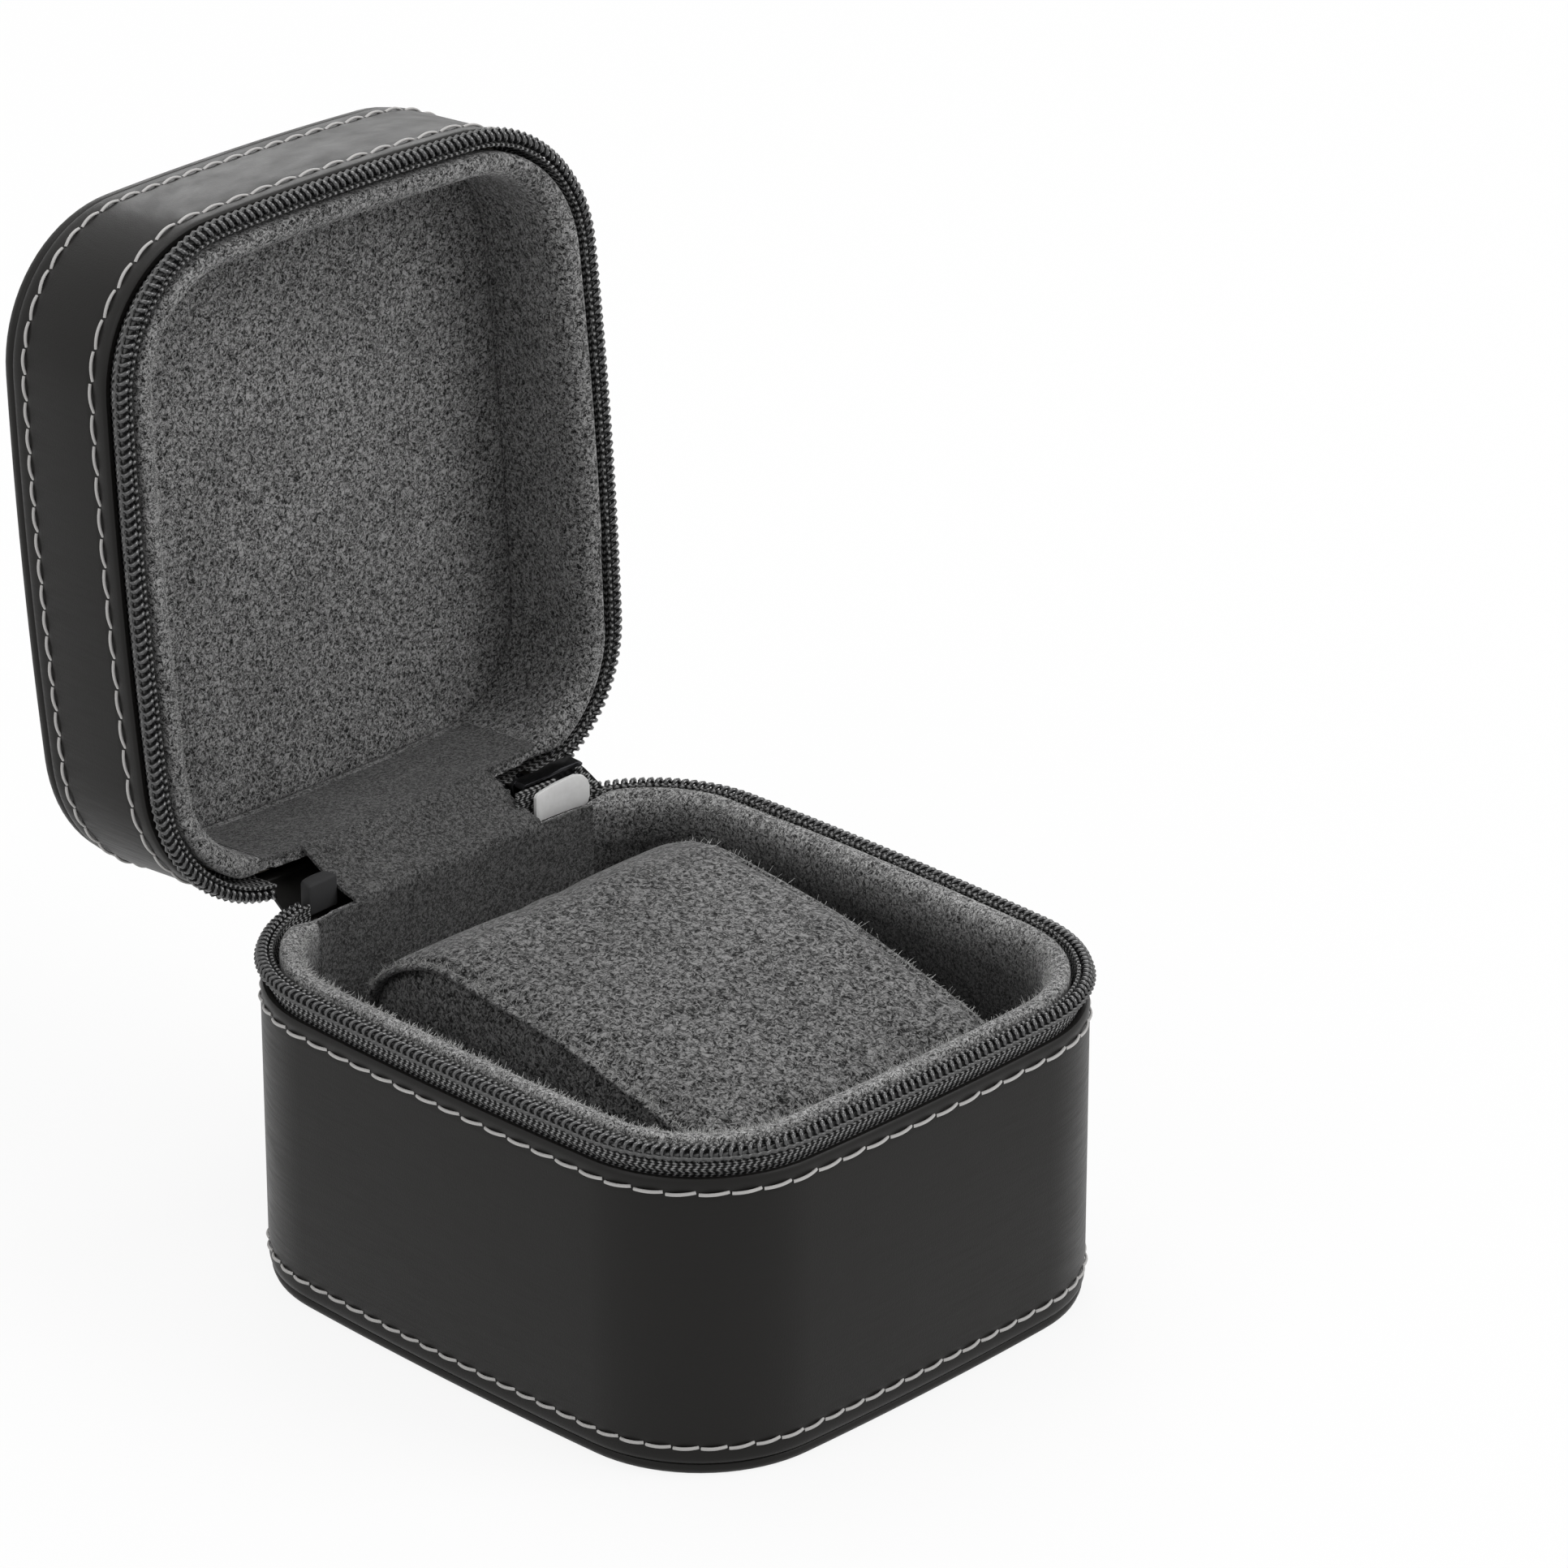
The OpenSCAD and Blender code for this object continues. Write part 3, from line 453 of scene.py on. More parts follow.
# %% Zip, thread and metal
def plain(name, colour, rough, metal=0.0, grain=0.0, grain_scale=8.0, coat=0.0, gloss=0.5):
    """One colour, a little darker and lighter in places."""
    look = Finish(name)
    tone_shift = look.noise(look.object_place(), grain_scale, 3.0, 0.6)
    shade = look.mix(tone_shift, (*[c * 0.85 for c in colour], 1),
                     (*[min(1, c * 1.15) for c in colour], 1))
    return look.surface(Base_Color=shade, Roughness=rough + (tone_shift - 0.5) * 0.12, Metallic=metal,
                        Specular_IOR_Level=gloss, Coat_Weight=coat, Coat_Roughness=0.1,
                        Normal=look.bump(tone_shift, grain, 0.6))


def woven_tape(name):
    """Slanted ribs of yarn, drawn on a map of the tape in millimetres."""
    look = Finish(name)
    run, rise, _ = look.split(look.node("ShaderNodeUVMap", {"uv_map": "run"}))
    side = run.math("PINGPONG", rise, 0.8)
    slant = run.math("PINGPONG", run + side * 0.8, 0.55) / 0.55
    rib = run.math("PINGPONG", rise, 0.2) / 0.2
    weave = slant * 0.6 + rib * 0.4
    speck = look.noise(look.object_place(), 5.0, 2.0, 0.7)
    shade = look.ramp(weave * 0.75 + speck * 0.5, (0.42, 0.003), (0.64, 0.026), (0.86, 0.36))
    return look.surface(Base_Color=shade, Roughness=0.8, Specular_IOR_Level=0.14,
                        Normal=look.bump(weave, 0.12, 1.0))


zip_tape = woven_tape("zip_tape")
nylon = plain("zip_nylon", (0.016, 0.016, 0.017), 0.16, grain=0.002, gloss=1.0)
# Fibres: a pale grey, partly their own colour and partly a painted sheen.
pale_fibre_and_sheen = plain("loose_fibre_and_sheen", (0.52, 0.52, 0.51), 0.9)
cord_black = plain("sewing_cord", (0.035, 0.035, 0.035), 0.38, grain=0.04, grain_scale=3.0,
                   gloss=0.8)
thread = plain("thread", (0.5, 0.49, 0.48), 0.75, grain=0.05, grain_scale=7.0)
gunmetal = plain("black_plating", (0.05, 0.05, 0.055), 0.2, metal=1.0, grain=0.002,
                 grain_scale=1.5, coat=0.3)
bright_metal = plain("bright_plating", (0.97, 0.965, 0.95), 0.36, metal=0.1, grain=0.0015,
                     grain_scale=1.0)
stop_cloth = plain("stop_cloth", (0.02, 0.02, 0.021), 0.85, grain=0.06, grain_scale=4.0)
print("finishes ready")

# %% [markdown]
# ## Leather walls
# Each wall is one strip of leather with turned edges. The thread pulls a shallow groove into
# it, and between groove and edge the leather swells a little. All of that is in the profile:
# a closed line of inset and height pairs that the sweep carries round the case.

# %% Base and lid leather
BASE_SEAM, BASE_EDGE = 1.85, ZIP_Z - 5.1
ROW_FOOT, ROW_RIM = 4.7, 45.4


def groove(z, depth=0.2, half=0.75):
    return [(-0.02, z - half * 1.7), (0.04, z - half), (depth, z), (0.04, z + half),
            (-0.02, z + half * 1.7)]


def wall_profile(seam, edge, rows):
    """Outer face from the seam to the edge with its grooves, then back down inside."""
    s = 1 if edge > seam else -1
    outer = [(0.95, seam + s * 0.05), (0.45, seam + s * 0.12), (0.12, seam + s * 0.45),
             (0.0, seam + s * 1.0)]
    for z in rows:
        outer += groove(z) if s > 0 else list(reversed(groove(z)))
    outer += [(-0.02, edge - s * 0.75), (0.08, edge - s * 0.28), (0.32, edge - s * 0.03),
              (0.7, edge), (1.05, edge - s * 0.05), (1.3, edge - s * 0.3), (1.35, edge - s * 0.8)]
    return outer + [(1.35, edge - s * 9.0), (1.35, seam + s * 2.0), (1.2, seam + s * 0.2)]


finish_piece(sweep(wall_profile(BASE_SEAM, BASE_EDGE, [ROW_FOOT, ROW_RIM]), RING),
             "base_leather", black_leather, "base", ["base_side_cover"])
LID_EDGE, LID_SEAM = ZIP_Z + 4.4, ZIP_Z + 25.3
ROW_LID_RIM, ROW_LID_TOP = ZIP_Z + 7.4, ZIP_Z + 22.3
finish_piece(sweep(wall_profile(LID_SEAM, LID_EDGE, [ROW_LID_TOP, ROW_LID_RIM]), RING),
             "lid_leather", lid_leather, "lid", ["lid_side_cover"])

# %% Top and bottom panels
def panel(profile, steps, name, body, stands_for):
    """A sweep that ends in an open ring, drawn in towards the middle and closed."""
    bm = sweep(profile, RING, closed=False)
    ring = [e for e in bm.edges if e.is_boundary
            and all(abs(v.co.z - profile[-1][1]) < 1e-4 for v in e.verts)]
    for share, rise in steps:
        made = bmesh.ops.extrude_edge_only(bm, edges=ring)["geom"]
        verts = [v for v in made if isinstance(v, bmesh.types.BMVert)]
        bmesh.ops.scale(bm, vec=(share, share, 1), verts=verts)
        bmesh.ops.translate(bm, vec=(0, 0, rise), verts=verts)
        ring = [e for e in made if isinstance(e, bmesh.types.BMEdge)]
    bmesh.ops.contextual_create(bm, geom=ring)
    finish_piece(bm, name, panel_leather, body, stands_for)


TOP = ZIP_Z + 27.2
CROWN_LINE = [(2.4, TOP - 1.95), (1.4, TOP - 1.9), (0.6, TOP - 1.86), (0.38, TOP - 1.6),
              (0.33, TOP - 1.0), (0.42, TOP - 0.4), (0.7, TOP + 0.02), (1.2, TOP + 0.28),
              (2.0, TOP + 0.46), (3.2, TOP + 0.5), (4.3, TOP + 0.38), (4.9, TOP + 0.12),
              (5.2, TOP + 0.04), (5.5, TOP + 0.14), (6.2, TOP + 0.5), (7.6, TOP + 1.0),
              (10.0, TOP + 1.6), (13.0, TOP + 2.1), (17.0, TOP + 2.5)]
FOOT_LINE = [(2.4, 1.82), (1.2, 1.8), (0.6, 1.76), (0.38, 1.5), (0.36, 1.0), (0.55, 0.5),
             (0.95, 0.14), (1.6, 0.0)]
panel(CROWN_LINE, [(0.75, 0.3), (0.62, 0.2), (0.5, 0.1)], "lid_top_leather", "lid",
      ["lid_top_panel"])
panel(FOOT_LINE, [(0.9, 0.0), (0.6, 0.0)], "base_bottom_leather", "base", ["base_bottom_panel"])

# %% [markdown]
# ## Lining
# The walls are lined with padded suede. At the zip the suede rolls over its padding in a
# soft rim. In the lid the flat lining meets the walls in a crisp crease, so its edge turns
# away from view there.

# %% Lining of base and lid
ROLL_OUT, ROLL_IN, ROLL_GAP = 2.86, 6.7, 0.2
WALL_IN = 6.0


def rim(z, s):
    """The padded rim in section: up from the tape side, over its crest, down to the wall."""
    return [(4.16, z - s * 5.4), (2.95, z - s * 4.9), (ROLL_OUT, z - s * 3.0),
            (ROLL_OUT, z - s * 1.1), (2.98, z - s * 0.5), (3.35, z - s * 0.14), (3.9, z),
            (4.7, z - s * 0.1), (5.4, z - s * 0.42), (6.0, z - s * 1.0), (6.45, z - s * 1.8),
            (ROLL_IN, z - s * 2.9), (ROLL_IN, z - s * 4.6), (6.6, z - s * 6.6)]


def ease_at_hinge(bm):
    """Presses the rim flat where the hinge strip lies on it."""
    board, low = 4.2, 1.5          # where the board stands, how far the crest ends from the zip
    for v in bm.verts:
        share = clamp((33.0 - abs(v.co.x)) / 5.0)
        if v.co.y > 30 and share:
            face, outer = wall_y(v.co.x, WALL_IN), wall_y(v.co.x, board)
            if face - 2 < v.co.y < face:
                v.co.y += (face - v.co.y) * share
            if v.co.y > outer:
                v.co.y += (outer - v.co.y) * share
            if abs(v.co.z - ZIP_Z) < low:
                crest = ZIP_Z - low if v.co.z < ZIP_Z else ZIP_Z + low
                v.co.z += (crest - v.co.z) * share


def ease_for_slider(bm):
    """Presses the rim's outer side in where the slider ends its way on the right."""
    slider_depth = 3.6
    for v in bm.verts:
        out = Vector((v.co.x + SIDE_C, v.co.y, 0))
        share = clamp(min((v.co.y - 16.0) / 4.0, (35.0 - v.co.y) / 4.0))
        missing = slider_depth - (SIDE_R - out.length)
        if v.co.x > 30 and abs(v.co.z - ZIP_Z) < 4.0 and missing > 0 and share:
            v.co -= out.normalized() * missing * share


def close_below(bm, height):
    """Closes the open ring of edges that lies below a height."""
    ring = [e for e in bm.edges if e.is_boundary and max(v.co.z for v in e.verts) < height]
    bmesh.ops.contextual_create(bm, geom=ring)


BASE_WALL = [(6.3, 41.0), (6.05, 36.0), (WALL_IN, 25.0), (WALL_IN, 8.0), (6.15, 6.0), (6.6, 5.2),
             (7.4, 4.96)]
base_lining = sweep(rim(ZIP_Z - ROLL_GAP, 1) + BASE_WALL, RING, closed=False)
ease_at_hinge(base_lining)
ease_for_slider(base_lining)
close_below(base_lining, 5.5)
finish_piece(base_lining, "base_lining", base_suede, "base",
             ["base_lining_wall", "base_lining_floor"], sharp=180)

CEILING = ZIP_Z + 18.2
LID_WALL = [(6.3, ZIP_Z + 9.6), (6.05, ZIP_Z + 12.0), (WALL_IN, CEILING - 1.0),
            (WALL_IN, CEILING + 0.6)]
lid_wall = sweep(rim(ZIP_Z + ROLL_GAP, -1) + LID_WALL, RING, closed=False)
ease_at_hinge(lid_wall)
ease_for_slider(lid_wall)
finish_piece(lid_wall, "lid_wall_lining", lid_suede, "lid", ["lid_lining_wall"],
             sharp=180)
lid_flat = sweep([(6.02, CEILING + 0.75), (6.06, CEILING + 0.4), (6.3, CEILING + 0.12),
                  (6.8, CEILING), (8.5, CEILING - 0.08), (14.0, CEILING - 0.05)], RING, closed=False)
close_below(lid_flat, CEILING + 0.1)
finish_piece(lid_flat, "lid_flat_lining", lid_suede, "lid", ["lid_lining_top"])

# %% [markdown]
# ## Loose fibres
# Suede frays where it is folded or cut: short fibres stand out along the rims, painted pale
# grey, partly their own colour and partly a painted sheen. One fibre is a three-sided spike,
# and a few thousand copies are strewn over the roll.

# %% Fibres
def strew(name, roots, body, lengths):
    """Sets one spike on each root, a pair of point and direction in millimetres."""
    dice = random.Random(name)
    seed = bmesh.new()
    bmesh.ops.create_cone(seed, segments=3, radius1=0.055, radius2=0.012, depth=1.0, cap_ends=True)
    bmesh.ops.translate(seed, vec=(0, 0, 0.42), verts=seed.verts)
    spike = bpy.data.meshes.new("spike")
    seed.to_mesh(spike)
    seed.free()
    bm = bmesh.new()
    for place, way in roots:
        lean = Vector([dice.gauss(0, 0.55) for _ in range(3)])
        turn = (way + lean).to_track_quat("Z", "X").to_matrix().to_4x4()
        length = dice.uniform(*lengths) * dice.choice((0.6, 0.8, 1.0, 1.25))
        copy = spike.copy()
        copy.transform(Matrix.Translation(place) @ turn @ Matrix.Diagonal((1, 1, length, 1)))
        bm.from_mesh(copy)
        bpy.data.meshes.remove(copy)
    bpy.data.meshes.remove(spike)
    # The pale grey of the fibres is partly a painted sheen.
    finish_piece(bm, name, pale_fibre_and_sheen, body, sharp=180)


TUFTS = 97


def rim_roots(name, count, z, s, line):
    """Points and directions on a rim; line holds pairs of inset and drop on its section."""
    dice = random.Random(name)
    total, roots, tufts = path_length(RING), [], [dice.random() for _ in range(TUFTS)]
    while len(roots) < count:
        share = dice.random()
        point, out = on_path(RING, share * total)
        k = dice.randrange(len(line) - 1)
        mix = dice.random()
        t, drop = [a + (b - a) * mix for a, b in zip(line[k], line[k + 1])]
        place = point - out * t + Vector((0, 0, z - s * (drop + 0.02)))
        if dice.random() < density(place) * (0.3 + tufts[int(share * TUFTS)]):
            roots.append((place, Vector((0, 0, s * 0.55)) - out * (0.3 + 0.4 * (t - 3.0) / 4)))
    return roots


def density(p):
    """How many fibres stay: none under the hinge strip, most on the left, where they lighten the rim
    as painted sheen.
    """
    if p.y > 40 and abs(p.x) < 31:
        return 0.0
    return 0.9 if p.x < -20 else 0.4


CREST = [(2.95, 0.6), (3.2, 0.2), (3.9, 0.0), (4.7, 0.1), (5.4, 0.42)]
INNER = [(5.4, 0.42), (6.0, 1.0), (6.45, 1.8)]
strew("base_rim_nap", rim_roots("base", 2400, ZIP_Z - ROLL_GAP, 1, CREST), "base", (0.2, 0.45))
strew("base_rim_fibres", rim_roots("tufts", 1500, ZIP_Z - ROLL_GAP, 1, INNER), "base", (0.65, 1.2))
strew("lid_rim_fibres", rim_roots("lid", 1500, ZIP_Z + ROLL_GAP, -1, CREST[2:] + INNER[1:]), "lid",
      (0.2, 0.4))

# %% [markdown]
# ## Zip tapes and coil
# Each tape is a woven ribbon that comes out from under the leather. The coil is one nylon
# wire wound into flat loops, so it is drawn as a curve whose points climb and fall once per
# turn, thicker at the heads that would mesh with the other half.

# %% Tapes
def add_run_map(bm, path):
    """A UV map in millimetres: along the zip, and up the tape."""
    layer = bm.loops.layers.uv.new("run")
    total = path_length(path)
    n = int(total)
    table = [on_path(path, total * i / n)[0] for i in range(n + 1)]
    tree = KDTree(len(table))
    for i, point in enumerate(table):
        tree.insert(point, i)
    tree.balance()
    for face in bm.faces:
        for loop in face.loops:
            flat = Vector((loop.vert.co.x, loop.vert.co.y, 0))
            _, i, _ = tree.find(flat)
            a, b = table[max(i - 1, 0)], table[min(i + 1, n)]
            way = (b - a).normalized()
            s = total * i / n + (flat - table[i]).dot(way)
            loop[layer].uv = (s, loop.vert.co.z)


def tape(z_edge, z_tuck, fold, path, name, body, stands_for):
    """A ribbon from its tucked edge to its free one; its outer fold swells down to fold."""
    s = 1 if z_edge > z_tuck else -1
    line = [(1.42, fold + 1.1), (1.36, fold + 0.75), (1.0, fold + 0.4), (0.7, fold - 0.05),
            (0.64, 2.6), (0.82, 2.2), (1.2, 1.85), (1.42, 1.4), (1.42, 0.3), (1.5, 0), (1.8, 0),
            (1.92, 0.3), (1.92, 4.4), (2.2, 5.0), (2.8, 5.1), (2.8, 5.4), (1.95, 5.5)]
    bm = sweep([(1.45, z_tuck)] + [(inset, z_edge - s * drop) for inset, drop in line]
               + [(1.9, z_tuck)], path, whole=False)
    add_run_map(bm, path)
    finish_piece(bm, name, zip_tape, body, stands_for)


tape(ZIP_Z - 0.5, ZIP_Z - 10.0, 3.5, forward(ZIP_PATH), "base_tape", "base",
     ["base_zipper_tape"])
SLIDER_HALF = 6.3
SLIDER_S = path_length(ZIP_PATH[:-1])
MOUTH_S = SLIDER_S - SLIDER_HALF - 1.5
centre, radius, begin, end = ZIP_PATH[7]
mouth_end = end - math.degrees((SLIDER_S - MOUTH_S) / CORNER_R)
LID_PATH = arcs(hinge_side_angle(ZIP_LEFT - 0.5))[:7] + [(centre, radius, begin, mouth_end)]
tape(ZIP_Z + 0.5, ZIP_Z + 10.0, 3.1, forward(LID_PATH), "lid_tape", "lid", ["lid_zipper_tape"])

# %% [markdown]
# The wire's loops wrap a filler cord, and a row of sewing ties both to the tape. A curve gives
# the wire its round section, and rings of six points give the cords theirs.

# %% Coil
TURN, WIRE = 1.36, 0.36


def coil(start, end, side, name, body, stands_for):
    """A wire wound into loops between two lengths of the chain; side is -1 below, 1 above."""
    turns = int((end - start) / TURN)
    per_turn = 10
    curve = bpy.data.curves.new(name, "CURVE")
    curve.dimensions, curve.bevel_depth = "3D", WIRE
    curve.bevel_resolution, curve.use_fill_caps = 1, True
    line = curve.splines.new("POLY")
    line.points.add(turns * per_turn)
    for i in range(turns * per_turn + 1):
        phase = 2 * math.pi * i / per_turn
        head = 0.5 - 0.5 * math.cos(phase)
        s = start + 0.35 + TURN * i / per_turn + 0.12 * math.sin(2 * phase)
        inset = 0.4 - 0.64 * math.sin(phase)
        place, out = on_path(ZIP_PATH, s)
        place = place - out * inset
        height = side * (2.35 - 1.9 * head ** 0.5)
        line.points[i].co = (place.x, place.y, ZIP_Z + height, 1)
        line.points[i].radius = 0.92 + 0.2 * max(0.0, head - 0.6) / 0.4
    holder = bpy.data.objects.new(name, curve)
    bm = bmesh.new()
    bm.from_mesh(holder.to_mesh())
    holder.to_mesh_clear()
    bpy.data.objects.remove(holder)
    finish_piece(bm, name, nylon, body, stands_for, sharp=80)


def join_rings(bm, rings, close_ends=True):
    """Joins closed rings of points one after the other, and closes both ends."""
    loops = []
    for points in rings:
        verts = [bm.verts.new(p) for p in points]
        loops.append([bm.edges.new((verts[i - 1], verts[i])) for i in range(len(verts))])
    for a, b in zip(loops, loops[1:]):
        bmesh.ops.bridge_loops(bm, edges=a + b)
    if close_ends:
        for loop in (loops[0], loops[-1]):
            bmesh.ops.contextual_create(bm, geom=loop)


CORDS = ((0.42, 1.7, 0.5, 0.62, 0.0), (-0.46, 1.6, 0.2, 0.32, 0.2), (1.74, 0.86, 0.24, 0.28, 0.15))


def cords(end, side, name, body):
    """The filler cord inside the loops and the sewing cord on both sides of the tape.

    Each cord has an inset, a height from the zip's middle, two radii and a wave."""
    bm = bmesh.new()
    for inset, height, wide, tall, wave in CORDS:
        n = int(end / TURN) * (4 if wave else 1)
        rings = []
        for i in range(n + 1):
            point, out = on_path(ZIP_PATH, 0.2 + (end - 0.4) * i / n)
            lift = wave * math.cos(math.pi * i / 2) if wave else 0.0
            mid = point - out * (inset - lift) + Vector((0, 0, ZIP_Z + side * height))
            rings.append([mid + out * wide * math.cos(a) + Vector((0, 0, tall * math.sin(a)))
                          for a in [math.pi * k / 3 for k in range(6)]])
        join_rings(bm, rings)
    finish_piece(bm, name, cord_black, body, sharp=80)


ZIP_END = path_length(ZIP_PATH)
cords(SLIDER_S - 1.0, -1, "base_coil_cords", "base")
cords(MOUTH_S, 1, "lid_coil_cords", "lid")
coil(0, SLIDER_S - 0.75, -1, "base_coil", "base", ["base_zipper_coil"])
coil(0, MOUTH_S, 1, "lid_coil", "lid", ["lid_zipper_coil"])
coil(SLIDER_S + 0.4, ZIP_END, -1, "tail_coil_low", "base", ["zipper_tail"])
coil(SLIDER_S + 1.1, ZIP_END, 1, "tail_coil_high", "base", ["zipper_tail"])
tail_path = [(ZIP_PATH[8][0], END_R, ZIP_PATH[8][2], ZIP_PATH[8][3])]
tail = sweep([(1.45, ZIP_Z - 0.85), (1.42, ZIP_Z + 2.9), (1.5, ZIP_Z + 3.05), (1.8, ZIP_Z + 3.05),
              (1.9, ZIP_Z + 2.9), (1.9, ZIP_Z - 0.85)], tail_path, whole=False)
add_run_map(tail, tail_path)
finish_piece(tail, "tail_tape", zip_tape, "base")

# %% [markdown]
# ## Stitching
# Pale thread runs in rows round the leather. One stitch is a short arched length of thread,
# spun from a small circle, and a row is many copies of it, each a little out of true, as a
# machine leaves them.

# %% One stitch, and rows of it
def one_stitch(length, thick=0.27, rise=0.42):
    """A mesh of one arched length of thread."""
    r = (length * length / 4 + rise * rise) / (2 * rise)
    half = math.asin(length / 2 / r)
    bm = bmesh.new()
    made = bmesh.ops.create_circle(bm, segments=8, radius=thick)
    bmesh.ops.scale(bm, vec=(1, 0.8, 1), verts=made["verts"])
    for axis in "XZ":
        bmesh.ops.rotate(bm, cent=(0, 0, 0), matrix=Matrix.Rotation(math.pi / 2, 3, axis),
                         verts=bm.verts)
    bmesh.ops.translate(bm, vec=(0, 0, r), verts=bm.verts)
    bmesh.ops.rotate(bm, cent=(0, 0, 0), matrix=Matrix.Rotation(-half, 3, "Y"), verts=bm.verts)
    bmesh.ops.spin(bm, geom=bm.verts[:] + bm.edges[:], cent=(0, 0, 0), axis=(0, 1, 0),
                   dvec=(0, 0, 0), angle=2 * half, steps=8, use_merge=False,
                   use_normal_flip=False, use_duplicate=False)
    bmesh.ops.translate(bm, vec=(0, 0, rise - r), verts=bm.verts)
    bmesh.ops.remove_doubles(bm, verts=bm.verts, dist=1e-5)
    bmesh.ops.holes_fill(bm, edges=[e for e in bm.edges if e.is_boundary])
    bmesh.ops.recalc_face_normals(bm, faces=bm.faces)
    data = bpy.data.meshes.new("stitch")
    bm.to_mesh(data)
    bm.free()
    return data


def row(name, pitch, height, inset, body, on_top=False):
    """A ring of stitches on a wall, or on the top panel when on_top is set."""
    dice = random.Random(name)
    slant, sink = 5, 0.1          # degrees out of line, millimetres into the leather
    total = path_length(RING, inset if on_top else 0)
    count = round(total / pitch)
    stitch = one_stitch(total / count * 0.9)
    bm = bmesh.new()
    for i in range(count):
        point, out = on_path(RING, total * (i + 0.5) / count, inset if on_top else 0)
        way = Vector((-out.y, out.x, 0))
        normal = Vector((0, 0, 1)) if on_top else out
        across = normal.cross(way)
        turn = math.radians(slant + dice.uniform(-2.5, 2.5))
        x = way * math.cos(turn) + across * math.sin(turn)
        y = normal.cross(x)
        place = point + Vector((0, 0, height)) - (normal * sink if on_top else out * (inset + sink))
        m = Matrix((x, y, normal)).transposed().to_4x4()
        m.translation = place
        copy = stitch.copy()
        copy.transform(m)
        bm.from_mesh(copy)
        bpy.data.meshes.remove(copy)
    print(name, count, "stitches")
    finish_piece(bm, name, thread, body, sharp=60)


row("stitch_base_foot", 4.0, ROW_FOOT, 0.12, "base")
row("stitch_base_rim", 4.7, ROW_RIM, 0.12, "base")
row("stitch_lid_rim", 4.7, ROW_LID_RIM, 0.12, "lid")
row("stitch_lid_side", 4.0, ROW_LID_TOP, 0.12, "lid")
row("stitch_lid_top", 4.0, TOP + 0.1, 5.2, "lid", on_top=True)

# %% [markdown]
# ## The soft hinge
# Two strips join lid and base: leather outside, suede inside. They bend at the hinge, so each
# is one mesh that follows the base at one end and the open lid at the other. A grid is the
# natural start: its rows are moved onto the line that the strip takes with the lid open.

# %% Hinge strips
def opened_point(y, z):
    """Where a place of the closed lid stands with the lid open."""
    p = OPENED @ Vector((0, y, z))
    return p.y, p.z


def thicken(bm, thickness):
    bmesh.ops.recalc_face_normals(bm, faces=bm.faces)
    bmesh.ops.solidify(bm, geom=bm.faces[:], thickness=thickness)


def strip(line_at, x0, x1, columns, thickness, hole=None):
    """A sheet whose rows follow line_at from base to lid, cut away where hole says so."""
    steps = len(line_at(0.0)) - 1
    bm = bmesh.new()
    bmesh.ops.create_grid(bm, x_segments=columns, y_segments=steps, size=0.5)
    for v in bm.verts:
        x = x0 + (x1 - x0) * (v.co.x + 0.5)
        y, z = line_at(x)[round((v.co.y + 0.5) * steps)]
        v.co = (x, y, z)
    if hole:
        gone = [f for f in bm.faces if hole(f.calc_center_median())]
        bmesh.ops.delete(bm, geom=gone, context="FACES")
    thicken(bm, thickness)
    return bm


STRIP_LEFT, STRIP_RIGHT = -20.0, 18.0
LEATHER_LEFT = -25.6
CREST_Z = 52.6


def inner_line(x):
    """The suede strip in section: up the base's wall, over to the lid, along the lid's wall."""
    y = wall_y(x, WALL_IN + 0.12)
    line = [(y, z) for z in (36.0, 40.0, 44.0, 46.0, 48.0, 49.8)]
    line += [(y - 0.02, 51.0), (y + 0.12, 51.9), (y + 0.7, CREST_Z)]
    y0, z0 = opened_point(y + 0.1, ZIP_Z + 0.9)
    for k in (0.2, 0.4, 0.6, 0.8):
        line.append((y + 0.7 + (y0 - y - 0.7) * k,
                     CREST_Z + (z0 - CREST_Z) * k - 0.8 * math.sin(math.pi * k)))
    heights = [1.4, 2.2] + [3 + 1.4 * i for i in range(11)]
    return line + [opened_point(y - 0.02, ZIP_Z + height) for height in heights]


def beside_strip(c):
    """True in the fold on both sides of the hinge, where the strip is cut out."""
    fold = wall_y(c.x, WALL_IN) - 0.05 < c.y < 57.9 and 51.4 < c.z < 58.5
    return fold and not STRIP_LEFT < c.x < STRIP_RIGHT


finish_piece(strip(inner_line, -28.0, 28.0, 56, 0.55, beside_strip), "hinge_lining", hinge_suede,
             None, ["hinge_inner_strip"], sharp=50,
             blend=("base", "lid", (0, 0.0475, 0.0522), (0, 0.0572, 0.0560)))


def outer_line(x):
    """The leather strip in section, a little lower beside the suede strip."""
    y = wall_y(x, 0.75)
    y0, z0 = opened_point(y, LID_EDGE)
    y1, z1 = opened_point(y, LID_EDGE + 1.3)
    clear = 0.45 * clamp((STRIP_LEFT + 0.6 - x) / 1.2)
    line = [(0, -1.3), (0, -0.4), (0.1, 0.3), (0.7, 1.0), (1.8, 1.4), (3.4, 1.7 - clear),
            (5.2, 2.0 - clear)]
    return [(y + aside, BASE_EDGE + rise) for aside, rise in line] + [
        (y0 - 1.6, z0 - 0.25 - clear), (y0 - 0.6, z0 - clear), (y0, z0), (y1, z1)]


finish_piece(strip(outer_line, LEATHER_LEFT, STRIP_RIGHT - 0.4, 30, 0.45), "hinge_leather",
             black_leather, None, ["hinge_outer_strip"], sharp=50,
             blend=("base", "lid", (0, 0.0524, 0.0490), (0, 0.0602, 0.0515)))
